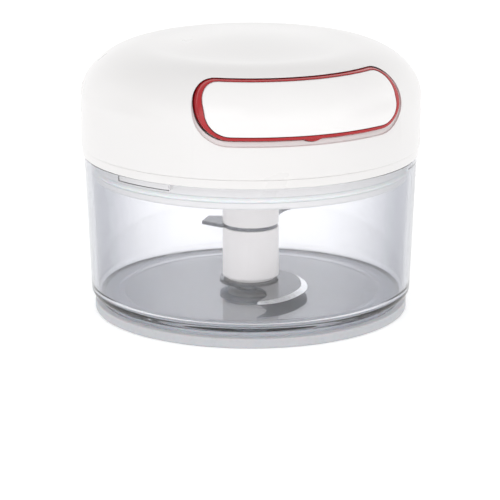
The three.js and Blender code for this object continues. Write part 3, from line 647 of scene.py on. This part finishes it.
lower_edge = [
    (0.06, -1), (0.27, -0.92), (0.45, -0.73), (0.585, -0.43), (0.59, -0.12), (0.5, 0.15),
    (0.33, 0.3), (0.12, 0.31),
]
lower_hollow = smooth_curve([
    (0.015, -0.33), (0.11, -0.46), (0.164, -0.62), (0.158, -0.79), (0.06, -1),
])
make_blade(
    "lower_chopping_blade", lower_edge, points([(0, 0)]) + lower_hollow[:-1],
    62, 10.9, ROTOR + 2.1, "lower_blade",
)
upper_edge = [
    (0.65, 0.79), (0.35, 0.945), (0.04, 0.87), (-0.19, 0.67), (-0.28, 0.42), (-0.287, 0.27),
]
upper_heel = points([(-0.455, 0.267), (-0.52, 0.048), (-0.31, -0.11), (0, 0)])
upper_hollow = smooth_curve([
    (0.28, 0.13), (0.295, 0.38), (0.37, 0.6), (0.49, 0.74), (0.65, 0.79),
])
make_blade(
    "upper_chopping_blade", upper_edge, upper_heel + upper_hollow[:-1],
    50, 9.5, ROTOR + 22.1, "upper_blade",
)

# %% [markdown]
# ## The lid
# The lid base closes the bowl: its flange covers the rim, and its skirt hangs inside the wall with
# a silicone seal in a groove. Three short keys under the flange sit in pockets of the bowl's rim.
# The collar in its middle carries the drive.

# %% Lid base and seal
SCREW_CIRCLE = 46
base = spin_section([
    (9.3, 50.05), (52.4, 50.05, 0.3), (52.4, 48.05, 0.5), (54.6, 48.05, 1.2), (54.6, 50.45),
    (53.6, 50.45), (53.6, 52.45), (54.6, 52.45), (54.6, LID, 0.3), (58.8, LID, 0.3),
    (58.8, 59.05, 0.2), (56.8, 59.05), (56.8, 62.05), (52.4, 62.05), (52.4, 52.45, 0.5),
    (11.9, 52.45, 0.3), (11.9, 62.05), (9.3, 62.05),
], steps=160)
keys = [
    spin_section(
        [(53.5, 53.75), (56.9, 53.75, 0.4), (56.9, 57.5), (53.5, 57.5)],
        turn=KEY_WIDTH, start=middle - KEY_WIDTH / 2 + FRONT, steps=16,
    )
    for middle in KEY_MIDDLES
]
screw_places = [
    Matrix.Rotation(math.radians(45 + 90 * i), 3, "Z") @ Vector((SCREW_CIRCLE, 0, 0))
    for i in range(4)
]
holes = [
    place(spin_section([(0, 49), (1.6, 49), (1.6, 54), (0, 54)], closed=False, steps=32), spot)
    for spot in screw_places
]
base = combine(combine(base, keys, "UNION"), holes)
add_piece("white_lid_base", base, white_abs, "lid", ["lid_base"], angle=30)
seal = spin_section([
    (53.65, 50.5), (54.6, 50.5, 0.2), (55.25, 51.45, 0.3), (54.6, 52.4, 0.2), (53.65, 52.4),
], steps=160)
add_piece("silicone_seal", seal, milky_silicone, "lid", ["seal_ring"])

# %% [markdown]
# The cover is a full, soft dome. Its side goes straight up, turns over in a shoulder shaped like a
# slightly squared ellipse, and ends in a low crown. The same formula gives the distance of the
# wall in front of the axis at any height, which the handle needs to follow the wall.

# %% The dome's section
SIDE = 59.3
CROWN = 36.5
SHOULDER_START = LID + 20.5
SHOULDER_RISE = 17.7
SHOULDER_POWER = 1.9
CROWN_RISE = 2.6
CROWN_STEPS = 12


def dome_section(out, low, steps=28):
    section = [(SIDE + out, low, 0.4 if out == 0 else 0)]
    for i in range(steps + 1):
        angle = i / steps * math.pi / 2
        across = max(math.cos(angle), 0) ** (2 / SHOULDER_POWER)
        up = math.sin(angle) ** (2 / SHOULDER_POWER)
        section.append((
            CROWN + (SIDE - CROWN + out) * across,
            SHOULDER_START + (SHOULDER_RISE + out) * up,
        ))
    for i in range(1, CROWN_STEPS + 1):
        share = 1 - i / CROWN_STEPS
        section.append((
            CROWN * share,
            SHOULDER_START + SHOULDER_RISE + out + CROWN_RISE * (1 - share * share) ** 2,
        ))
    return section


print("dome:", 2 * SIDE, "mm across, up to", SHOULDER_START + SHOULDER_RISE + CROWN_RISE, "mm")

# %% [markdown]
# ## The handle's outline
# Seen from the front, handle and pocket are a bar with round ends, nearly level with the dome.
# Each point of that outline is laid on the dome, grown by margins at its sides, bottom and top, and
# moved out from the wall by a distance. A list of such steps is a section. The first loop is
# extruded from step to step, which gives a tray, a plate or a cutter that follows the dome exactly.
# The named margins are those of the frame's edge, the rim, the face, the ledge behind the face, and
# the pocket with its throat and wall. Where the dome turns away at the top, a shape stays at least
# the distance called back in front of the axis.

# %% Laying outlines on the dome
HANDLE_SIDE = 36.1
HANDLE_LOW = 72.6
HANDLE_HIGH = 91.0
HANDLE_CORNER = 8.924
HANDLE_RISE_SHARE = 0.4
EDGE = (0, 0, 0)
RIM = (-1.7, -1.05, -0.4)
PLATE = (-1.92, -1.27, -0.55)
LEDGE = (-2.4, -1.75, -1.2)
POCKET = (1.3, 2.2, 0.3)
THROAT = (0.45, 0.55, 0.3)
POCKET_WALL = (3.1, 4.0, 2.1)


def grow(margins, by):
    return tuple(margin + by for margin in margins)


def between(margins, others, share):
    return tuple(one + (other - one) * share for one, other in zip(margins, others))


def on_dome(x, z, out, back):
    up = max(0, z - SHOULDER_START) / (SHOULDER_RISE + out * HANDLE_RISE_SHARE)
    across = (1 - min(1, up) ** SHOULDER_POWER) ** (1 / SHOULDER_POWER)
    radius = CROWN + (SIDE - CROWN + out) * across
    return Vector((x, -max(back, math.sqrt(max(radius**2 - x**2, 0))), z)) * MM


def half_outline(margins, upper, straight=44, turns=12):
    side = HANDLE_SIDE + margins[0]
    edge = HANDLE_HIGH + margins[2] if upper else HANDLE_LOW - margins[1]
    round_off = HANDLE_CORNER + margins[0]
    sign = 1 if upper else -1
    spots = []
    for i in range(turns + 1):
        angle = math.pi / 2 * i / turns
        spots.append((
            -side + round_off - round_off * math.cos(angle),
            edge - sign * (round_off - round_off * math.sin(angle)),
        ))
    reach = side - round_off
    spots += [(-reach + 2 * reach * i / straight, edge) for i in range(1, straight)]
    return spots + [(-x, z) for x, z in reversed(spots[:turns + 1])]


def outline_rows(bm, margins, out, back):
    return [
        [bm.verts.new(on_dome(x, z, out, back)) for x, z in half_outline(margins, upper)]
        for upper in (True, False)
    ]


def join_points(bm, verts):
    return [bm.edges.new(pair) for pair in zip(verts, verts[1:])]


print("handle:", 2 * HANDLE_SIDE, "mm long,", HANDLE_HIGH - HANDLE_LOW, "mm high")

# %% [markdown]
# The open ends are closed by a sheet that is bridged between the upper and the lower half of the
# last loop. Its cross edges are subdivided, and the new points are laid on the dome as well.

# %% Lofting a section along the outline
def dome_sheet(margins, out, back, cuts=14):
    sheet = bmesh.new()
    rows = outline_rows(sheet, margins, out, back)
    outline = [edge for row in rows for edge in join_points(sheet, row)]
    tips = {rows[0][0], rows[0][-1]}
    rungs = bmesh.ops.bridge_loops(sheet, edges=outline)["edges"]
    rungs = [edge for edge in rungs if not tips & set(edge.verts)]
    made = bmesh.ops.subdivide_edges(sheet, edges=rungs, cuts=cuts, use_grid_fill=True)
    for item in made["geom_inner"]:
        if isinstance(item, bmesh.types.BMVert):
            item.co = on_dome(item.co.x / MM, item.co.z / MM, out, back)
    mesh = bpy.data.meshes.new("sheet")
    sheet.to_mesh(mesh)
    sheet.free()
    return mesh


def loft(section, back):
    bm = bmesh.new()
    upper, lower = outline_rows(bm, *section[0], back)
    ring = upper + lower[::-1]
    edges = join_points(bm, ring + ring[:1])
    for margins, out in section[1:]:
        made = bmesh.ops.extrude_edge_only(bm, edges=edges)["geom"]
        fresh = {item for item in made if isinstance(item, bmesh.types.BMVert)}
        edges = [item for item in made if isinstance(item, bmesh.types.BMEdge)]
        edges = [edge for edge in edges if fresh.issuperset(edge.verts)]
        ring = [
            next(e.other_vert(v) for e in v.link_edges if e.other_vert(v) in fresh) for v in ring
        ]
        places = half_outline(margins, True) + half_outline(margins, False)[::-1]
        for vert, (x, z) in zip(ring, places):
            vert.co = on_dome(x, z, out, back)
    for margins, out in (section[0], section[-1]):
        bm.from_mesh(dome_sheet(margins, out, back))
    return tidy(bm)


# %% [markdown]
# Bosses, bores and screws are short rods. Most point up, and those of the handle and the cord
# point forward, along the pull. Both start as a spun section.

# %% Rods
def rod(section, spot=(0, 0, 0), forward=False, steps=32, closed=False):
    made = spin_section(section, closed=closed, steps=steps)
    return place(place(made, turn=90, axis="X") if forward else made, spot)


def plain_rod(radius, low, high, spot=(0, 0, 0), forward=False, steps=32, edge=0):
    section = [(0, low), (radius, low, edge), (radius, high, edge), (0, high)]
    return rod(section, spot, forward, steps)


# %% [markdown]
# The cover is one moulding: the dome, a walled pocket for the handle, five posts for screws that
# hang from its roof, and a small boss for the cord's eyelet. Round the handle the pocket starts as
# a shallow step, widest below, and only its narrow throat goes down to the full depth. Posts and
# pocket wall are first cut off 1.1 mm under the dome, so that nothing breaks through it.

# %% Cover with its pocket
def roof():
    return rod(dome_section(-1.1, 48) + [(0, 48)], steps=256)


cover = spin_section(
    dome_section(0, LID + 3.05) + dome_section(-2.2, LID + 3.05)[::-1], steps=256,
)
posts = [plain_rod(4.5, 67.05, 99, edge=0.3)]
posts += [plain_rod(3.6, 52.5, 99, spot, edge=0.2) for spot in screw_places]
backing = loft([(POCKET_WALL, -6.3), (POCKET_WALL, 3)], back=31.7)
for part in posts + [backing]:
    cover = combine(cover, [combine(part, [roof()], "INTERSECT")], "UNION")
pocket = loft([
    (THROAT, -4.5), (THROAT, -1.4), (between(THROAT, POCKET, 0.06), -1.28),
    (between(THROAT, POCKET, 0.2), -1.2), (between(THROAT, POCKET, 0.85), -0.9),
    (between(THROAT, POCKET, 0.96), -0.8), (POCKET, -0.66), (POCKET, -0.3),
    (grow(POCKET, 0.03), -0.17), (grow(POCKET, 0.1), -0.07), (grow(POCKET, 0.2), -0.01),
    (grow(POCKET, 0.3), 0.02), (grow(POCKET, 0.4), 8),
], back=33.5)
cover = combine(cover, [pocket, plain_rod(7.25, 54.6, 62, (0, 0, CORD), True, steps=64)])
cover = combine(cover, [plain_rod(5.2, 51.1, 53.6, (0, 0, CORD), True, edge=0.2)], "UNION")
bores = [
    plain_rod(3.5, 40, 52.05, (0, 0, CORD), True), plain_rod(2.5, 40, 60, (0, 0, CORD), True),
    plain_rod(1.6, 60, 79.35),
]
bores += [plain_rod(1.4, 50, 60.65, spot) for spot in screw_places]
cover = combine(cover, bores)
add_piece("white_cover", cover, white_abs, "lid", ["top_cover"], angle=30)

# %% [markdown]
# The handle is a red tray with a white face in it. The rim of the tray stands a little lower than
# the face and has soft edges, and both follow the dome. The rim is narrow along the top, wider
# below and widest at the ends. A round lug in the middle of the lower edge takes the cord, and two
# bosses take screws from behind.

# %% Handle frame
BOSS_SIDES = (-15, 15)
tray = loft([
    (grow(EDGE, -0.25), -3.7), (grow(EDGE, -0.07), -3.62), (EDGE, -3.4), (EDGE, 0.3),
    (grow(EDGE, -0.03), 0.5), (grow(EDGE, -0.1), 0.66), (grow(EDGE, -0.2), 0.75),
], back=34.3)
lug = plain_rod(6.9, 55.7, 59.35, (0, 0, CORD), True, edge=0.35, steps=64)
recess = loft([
    (LEDGE, -2.3), (LEDGE, -1.3), (RIM, -1.3), (RIM, 0.5), (grow(RIM, 0.02), 0.62),
    (grow(RIM, 0.07), 0.7), (grow(RIM, 0.14), 0.76), (grow(RIM, 0.14), 8),
], back=35.7)
bosses = [plain_rod(3.4, 53.4, 56, (side, 0, CORD), True, edge=0.15) for side in BOSS_SIDES]
for part in [lug] + bosses:
    tray = combine(tray, [part], "UNION")
tray = combine(tray, [recess])
bores = [plain_rod(1.2, 40, 58, (0, 0, CORD), True), plain_rod(2.1, 57, 62, (0, 0, CORD), True)]
for side in BOSS_SIDES:
    bores.append(plain_rod(2.1, 40, 54.64, (side, 0, CORD), True))
    bores.append(plain_rod(1.0, 40, 62, (side, 0, CORD), True))
tray = combine(tray, bores)
add_piece("red_handle_frame", tray, red_abs, "handle", ["handle_frame"], angle=40)

# %% [markdown]
# The face is a white plate that fills the tray and stands a little proud of its rim. It is lofted
# on the same outline, smaller by the width of the groove, with a soft edge of four small steps. Its
# back has bores for the knot of the cord and the two screws.

# %% Handle face
face = loft([
    (grow(PLATE, -0.1), -1.2), (PLATE, -1.1), (PLATE, 0.62), (grow(PLATE, -0.03), 0.78),
    (grow(PLATE, -0.12), 0.91), (grow(PLATE, -0.25), 0.98), (grow(PLATE, -0.42), 1.0),
], back=34.3)
bores = [plain_rod(2.1, 50, 58.95, (0, 0, CORD), True)]
bores += [plain_rod(1.0, 50, 57.54, (side, 0, CORD), True) for side in BOSS_SIDES]
face = combine(face, bores)
add_piece("white_handle_face", face, white_gloss, "handle", ["handle_plate"], angle=40)

# %% [markdown]
# ## Screws and metal rings
# The screws are self-tapping, with pan heads and a cross recess. The recess is two short slots cut
# into the head, and the thread is drawn as rings, because only its ridges could ever be seen.

# %% Screws
def make_screw(name, node, shank, length, head, thick, spot, forward=False, body="lid"):
    ridges = []
    pitch = 0.9 * shank
    for i in range(int((length - 1.2 * shank) / pitch)):
        ridges += [(shank, 0.4 + i * pitch), (shank * 0.8, 0.4 + (i + 0.5) * pitch)]
    screw = spin_section(
        [(0, -thick), (head, -thick, thick * 0.45), (head, -0.05, 0.1), (shank, -0.05)] + ridges
        + [(shank * 0.7, length - 0.3), (0, length)],
        closed=False, steps=24,
    )
    slots = []
    for turn in (0, 90):
        slot = bmesh.new()
        bmesh.ops.create_cube(slot, size=1)
        size = Vector((head * 1.1, head * 0.22, thick)) * MM
        bmesh.ops.scale(slot, vec=size, verts=slot.verts)
        slots.append(place(slot, (0, 0, -thick), turn))
    screw = combine(screw, slots)
    screw = place(place(screw, turn=90, axis="X") if forward else screw, spot)
    add_piece(name, screw, zinc_plate, body, [node])


for i, spot in enumerate(screw_places, 1):
    make_screw(
        f"lid_screw_cross_{i}", f"lid_screw_{i}", 1.3, 10.4, 2.7, 1.5, (spot.x, spot.y, 50.05),
    )
make_screw("axle_screw_cross", "axle_screw", 1.5, 12.75, 4.2, 2.6, (0, 0, 66.3))
for i, side in enumerate(BOSS_SIDES, 1):
    make_screw(
        f"handle_screw_cross_{i}", f"handle_screw_{i}", 0.9, 2.85, 2, 0.8,
        (side, -54.588, CORD), True, "handle",
    )

# %% [markdown]
# Washers and the eyelet are pressed metal or plastic rings with their burr rolled off. The mouth
# of the eyelet is rounded, so that the cord doesn't fray as it runs through. The retainer is an
# open snap ring in a groove of the drive's sleeve, just under the lid's plate.

# %% Washers, eyelet and retainer
washer = spin_section([(1.6, 66.3, 0.1), (7, 66.3, 0.2), (7, 67, 0.2), (1.6, 67, 0.1)], steps=64)
add_piece("axle_washer_ring", washer, zinc_plate, "lid", ["axle_washer"])
slider = spin_section(
    [(9.3, 62.1, 0.15), (11.9, 62.1, 0.15), (11.9, 62.8, 0.15), (9.3, 62.8, 0.15)], steps=96,
)
add_piece("thrust_washer_ring", slider, acetal, "lid", ["thrust_washer"])
eyelet = rod([
    (1.2, 50.1, 0.4), (2.4, 50.1, 0.3), (2.4, 51.1), (3.4, 51.1, 0.2), (3.4, 52, 0.2), (2.4, 52),
    (2.4, 53.6, 0.3), (1.2, 53.6, 0.6),
], (0, 0, CORD), True, 48, True)
add_piece("eyelet_rolled", eyelet, zinc_plate, "lid", ["cord_eyelet"])
clip = spin_section(
    [(8.55, 48.85, 0.15), (10.9, 48.85, 0.15), (10.9, 49.75, 0.15), (8.55, 49.75, 0.15)],
    turn=320, start=20 + FRONT, steps=80,
)
add_piece("snap_ring", clip, spring_strip, "drive", ["drive_retainer"])

# %% [markdown]
# ## Cord and winding
# The cord is a tube swept along its route, in circles that are bridged one to the next. Its UV map
# runs round the cord and along it, so the braid follows every bend. Where the map closes round the
# cord, the corners at its start count as its end, or the braid would run backwards in that face.

# %% Sweeping a cord
CORD_RADIUS = 0.7


def sweep(path, radius=CORD_RADIUS, sides=10):
    bm = bmesh.new()
    spots = {}
    loops = []
    length = 0
    for i, point in enumerate(path):
        ahead = (path[min(i + 1, len(path) - 1)] - path[max(i - 1, 0)]).normalized()
        turned = ahead.to_track_quat("Z", "Y").to_matrix().to_4x4()
        length += (point - path[i - 1]).length if i else 0
        ring = bmesh.ops.create_circle(
            bm, segments=sides, radius=radius * MM, matrix=Matrix.Translation(point * MM) @ turned,
        )["verts"]
        for k, vert in enumerate(ring):
            spots[vert] = (k / sides, length / (2 * math.pi * radius))
        loops.append(list({edge for vert in ring for edge in vert.link_edges}))
    for one, other in zip(loops, loops[1:]):
        bmesh.ops.bridge_loops(bm, edges=one + other)
    for edges in (loops[0], loops[-1]):
        bmesh.ops.contextual_create(bm, geom=edges)
    layer = bm.loops.layers.uv.new("UVMap")
    for one in bm.faces:
        shares = [spots[corner.vert][0] for corner in one.loops]
        closes = len(shares) == 4 and max(shares) - min(shares) > 0.5
        for corner, share in zip(one.loops, shares):
            wrapped = share + 1 if closes and share < 0.5 else share
            corner[layer].uv = (wrapped, spots[corner.vert][1])
    bmesh.ops.recalc_face_normals(bm, faces=bm.faces)
    return bm


# %% [markdown]
# The pull cord leaves the reel on a tangent, bends into the eyelet and goes on to the knot in the
# handle. Its two ends belong to the lid and to the handle. It is swept once, as it lies at rest,
# and rides on no body.

# %% Pull cord
ROUTE = [
    (-20.48, -10.84), (-14.27, -22.52), (-8.09, -34.21), (-1.9, -45.9), (-0.35, -49.1),
    (0, -51.2), (0, -54.2), (0, -56.95),
]
route = [Vector((spot.x, spot.y, CORD)) for spot in smooth_curve(ROUTE, 8)]
cord = add_piece("pull_cord_braided", sweep(route), braid, None, ["pull_cord"], angle=60)
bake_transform(cord)

# %% [markdown]
# On the reel the cord lies in two layers. The first climbs the drum in four and a half turns, and
# the second comes down over it in as many. Where they meet, the path moves out to the next layer.

# %% Winding
TURN_STEPS = 48
LAYER_TURNS = 4.5
FIRST_LAYER = 20.76
SECOND_LAYER = 21.68
turns = []
for i in range(int(2 * LAYER_TURNS * TURN_STEPS) + 1):
    turned = i / TURN_STEPS
    climbed = turned / LAYER_TURNS
    height = 75.3 + 6.5 * (climbed if climbed <= 1 else 2 - climbed)
    shift = min(1, max(0, (turned - LAYER_TURNS + 0.2) / 0.4))
    radius = FIRST_LAYER + (SECOND_LAYER - FIRST_LAYER) * shift
    angle = turned * 2 * math.pi
    turns.append(Vector((radius * math.cos(angle), radius * math.sin(angle), height)))
add_piece("cord_turns", sweep(turns, sides=8), braid, "reel", ["cord_winding"], angle=60)

# %% [markdown]
# The knot is pulled tight inside the handle. What could be seen of it is the end of the cord with
# two turns wrapped round it, so that is swept here, and the two tubes stay in one mesh.

# %% Knot
KNOT_STEPS = 24
KNOT_RADIUS = 1.14
coil = []
for i in range(2 * KNOT_STEPS + 1):
    angle = i / KNOT_STEPS * 2 * math.pi
    coil.append(Vector((
        KNOT_RADIUS * math.cos(angle), -57.7 - 0.15 * i / KNOT_STEPS,
        CORD + KNOT_RADIUS * math.sin(angle),
    )))
knot = sweep(coil, 0.62, 8)
tail = [Vector((0, y, CORD)) for y in (-57.1, -57.5, -58, -58.3, -58.6)]
tail = make_object("tail", sweep(tail))
knot.from_mesh(tail.data)
bpy.data.objects.remove(tail)
add_piece("cord_knot_tied", knot, braid, "handle", ["cord_knot"], angle=60)

# %% [markdown]
# ## Reel and spring
# The reel is one acetal moulding: a drum between two flanges, a ring of ratchet teeth below it and
# a round chamber above it for the spring. The teeth are drawn as an outline with softened corners.

# %% Raising an outline
def raised(places, low, high, soft=0):
    bm = bmesh.new()
    corners = [(bm.verts.new(Vector((x, y, low)) * MM), soft) for x, y in places]
    for (start, _), (end, _) in zip(corners, corners[1:] + corners[:1]):
        bm.edges.new((start, end))
    bevel_corners(bm, corners)
    flat = bmesh.ops.contextual_create(bm, geom=bm.edges[:])["faces"]
    lifted = bmesh.ops.extrude_face_region(bm, geom=flat)["geom"]
    tops = [item for item in lifted if isinstance(item, bmesh.types.BMVert)]
    bmesh.ops.translate(bm, verts=tops, vec=(0, 0, (high - low) * MM))
    bmesh.ops.recalc_face_normals(bm, faces=bm.faces)
    return bm


def polar(radius, degrees):
    return radius * math.cos(math.radians(degrees)), radius * math.sin(math.radians(degrees))


# %% [markdown]
# The ratchet is a ring whose hole is the outline of twelve teeth. A tooth has a steep side, which
# leans a little so that a pawl is drawn into it, and a long slope that lifts the pawl out when the
# spring turns the reel back.

# %% Reel
TEETH = 12
FIRST_TOOTH = -46.053
TOOTH_LEAN = 0.939
teeth = []
for i in range(TEETH):
    foot_angle = FIRST_TOOTH + 360 / TEETH * i
    teeth += [polar(22.2, foot_angle), polar(24.4, foot_angle + TOOTH_LEAN)]
ratchet = combine(plain_rod(27, 66.05, 73.3, edge=0.3, steps=128), [raised(teeth, 65, 75, 0.12)])
reel = spin_section([
    (4.8, 67.45, 0.3), (7.2, 67.45, 0.3), (7.2, 82.55, 0.4), (18, 82.55, 0.4), (18, 73.05, 0.3),
    (30, 73.05, 0.4), (30, 74.55, 0.4), (20, 74.55, 0.3), (20, 82.55, 0.3), (30, 82.55, 0.4),
    (30, 84.05, 0.4), (27.6, 84.05, 0.2), (27.6, 90.55, 0.3), (25.6, 90.55, 0.3),
    (25.6, 84.05, 0.3), (4.8, 84.05, 0.3),
])
reel = combine(reel, [ratchet], "UNION")
add_piece("acetal_reel", reel, acetal, "reel", ["cord_reel"], angle=30)

# %% [markdown]
# The rewind spring is a strip of hardened steel, coiled from the post to the chamber's wall. A wire
# along the spiral is pulled up to a ribbon, and the ribbon gets its thickness. A nylon disc closes
# the chamber above it.

# %% Rewind spring and its cover
SPRING_TURNS = 6
SPRING_STEPS = 60
strip = bmesh.new()
wire = []
for i in range(SPRING_TURNS * SPRING_STEPS + 1):
    share = i / (SPRING_TURNS * SPRING_STEPS)
    x, y = polar(5.35 + 19.4 * share, 360 / SPRING_STEPS * i)
    wire.append(strip.verts.new(Vector((x, y, 84.35)) * MM))
ribbon = bmesh.ops.extrude_edge_only(strip, edges=join_points(strip, wire))["geom"]
tops = [item for item in ribbon if isinstance(item, bmesh.types.BMVert)]
bmesh.ops.translate(strip, verts=tops, vec=(0, 0, 5.4 * MM))
bmesh.ops.solidify(strip, geom=strip.faces[:], thickness=0.45 * MM)
bmesh.ops.recalc_face_normals(strip, faces=strip.faces)
add_piece("coiled_spring", strip, spring_strip, "reel", ["rewind_spring"])
lidding = spin_section([(5.1, 90.6, 0.3), (27.6, 90.6, 0.3), (27.6, 91.8, 0.4), (5.1, 91.8, 0.3)])
add_piece("spring_lid", lidding, grey_nylon, "reel", ["spring_cover"])

# %% [markdown]
# ## Drive
# The carrier is a nylon disc with two pins for the pawls. Its sleeve goes down through the collar
# of the lid and ends in a hexagonal socket that drops over the rotor.

# %% Carrier
PAWL_PIN = 13.5


def hexagon_rod(corner_radius, low, high):
    return raised([polar(corner_radius, 60 * i + 90) for i in range(6)], low, high, 0.25)


carrier = spin_section([
    (0, 47), (9, 47, 0.5), (9, 48.8), (8.5, 48.8), (8.5, 49.8), (9, 49.8), (9, 62.85, 0.5),
    (21, 62.85, 0.4), (21, 65.45, 0.4), (6.6, 65.45, 0.3), (6.6, 57, 0.3), (0, 57),
], closed=False, steps=96)
carrier = combine(carrier, [hexagon_rod(7.25, 46, 55)])
for side in (-PAWL_PIN, PAWL_PIN):
    pin = plain_rod(1.5, 63.5, 71.05, (side, 0, 0), edge=0.3)
    carrier = combine(carrier, [pin], "UNION")
add_piece("nylon_carrier", carrier, grey_nylon, "drive", ["drive_carrier"], angle=30)

# %% [markdown]
# The two pawls are small stamped steel arms on the carrier's pins, half a turn apart. Each is an
# outline raised to its height and joined to a round eye with a bore for the pin.

# %% Pawls
for name, turn in (("pawl_a", 0), ("pawl_b", 180)):
    arm = raised([(11.3, 0), polar(21.3, -41.53), polar(23, -41.06), (15.7, 0)], 65.8, 70.7, 0.15)
    eye = plain_rod(3, 65.75, 70.75, (PAWL_PIN, 0, 0), edge=0.2, steps=48)
    pawl = combine(combine(arm, [eye], "UNION"), [plain_rod(1.8, 65, 72, (PAWL_PIN, 0, 0))])
    add_piece(f"{name}_steel", place(pawl, turn=turn), spring_strip, name, [name], angle=30)

# %% [markdown]
# ## Set and light
# The chopper stands on a plain pale floor. A sheet of white paper is enough for it, with a faint
# fibre in its colour. The floor glows a little, like a light table, which keeps the shadow faint
# and lights the bowl from below. It lies a hair under the foot, so the two never share a plane.

# %% Floor
floor_mesh = bmesh.new()
bmesh.ops.create_grid(floor_mesh, x_segments=1, y_segments=1, size=3)
floor = make_object("studio_floor", floor_mesh)
paper, tree, shader, where = new_finish(
    "white paper sweep", Roughness=0.8, Emission_Color=(1, 1, 1, 1), Emission_Strength=0.2,
)
fibre = add_node(tree, "ShaderNodeTexNoise", {"Vector": where, "Scale": grain(4), "Detail": 4.0})
add_tint(tree, shader, fibre.outputs["Fac"], "#fafafa", "#fdfdfd")
floor.data.materials.append(paper)
floor.location.z = -0.1 * MM
print("floor:", paper.name)

# %% [markdown]
# Most of the light comes from the surroundings, as in a studio tent, and none of it from a
# picture. They are brightest near the horizon, where their light gets in through the wall of the
# bowl to the rotor. They are darker at both sides, which gives the cover its shape, and a little
# darker behind, which shows in the floor of the bowl and in the flat of the blade. Each of the
# three is a smooth step along one fixed direction, and they are multiplied.

# %% World
TO_THE_RIGHT = (0.9367, -0.3502, 0)
TO_THE_BACK = (0.3502, 0.9367, 0)
world = bpy.data.worlds.new("studio")
world.use_nodes = True
bpy.context.scene.world = world
tree = world.node_tree
around = add_node(tree, "ShaderNodeTexCoord").outputs["Generated"]
side = add_node(
    tree, "ShaderNodeVectorMath", {0: around, 1: TO_THE_RIGHT}, operation="DOT_PRODUCT",
)
apart = add_node(tree, "ShaderNodeMath", {0: side.outputs["Value"]}, operation="ABSOLUTE")
shadeside = add_node(tree, "ShaderNodeMapRange", {
    "Value": apart.outputs[0], "From Min": 0.85, "From Max": 0.98,
    "To Min": 1.0, "To Max": 0.45,
}, interpolation_type="SMOOTHSTEP")
height = add_node(tree, "ShaderNodeSeparateXYZ", {0: around}).outputs["Z"]
band = add_node(tree, "ShaderNodeMapRange", {
    "Value": height, "From Min": 0.35, "From Max": 0.75, "To Min": 1.55, "To Max": 0.85,
}, interpolation_type="SMOOTHSTEP")
behind = add_node(
    tree, "ShaderNodeVectorMath", {0: around, 1: TO_THE_BACK}, operation="DOT_PRODUCT",
)
dusk = add_node(tree, "ShaderNodeMapRange", {
    "Value": behind.outputs["Value"], "From Min": 0.35, "From Max": 0.8,
    "To Min": 1.0, "To Max": 0.84,
}, interpolation_type="SMOOTHSTEP")
sides = add_node(tree, "ShaderNodeMath", {
    0: shadeside.outputs["Result"], 1: dusk.outputs["Result"],
}, operation="MULTIPLY")
glow = add_node(tree, "ShaderNodeMath", {
    0: sides.outputs[0], 1: band.outputs["Result"],
}, operation="MULTIPLY")
background = tree.nodes["Background"]
tree.links.new(glow.outputs[0], background.inputs["Strength"])
background.inputs["Color"].default_value = (1, 1, 1, 1)
print("world:", world.name)

# %% [markdown]
# One large soft lamp stands high at the front left. It is weak, and only adds a gentle highlight to
# shoulder and handle. The Standard view keeps white plastic as white as the finish says.

# %% Lamp
LAMP_SPOT = Vector((-1.1, -1.2, 1.3))
lamp = bpy.data.lights.new("key", "AREA")
lamp.shape = "RECTANGLE"
lamp.size = lamp.size_y = 0.9
lamp.energy = 2
light = bpy.data.objects.new("key", lamp)
light.location = LAMP_SPOT
light.rotation_euler = (LAMP_SPOT - AIM).to_track_quat("Z", "Y").to_euler()
bpy.context.collection.objects.link(light)
bpy.context.scene.view_settings.view_transform = "Standard"
print("lamp at", [round(c, 3) for c in light.location])
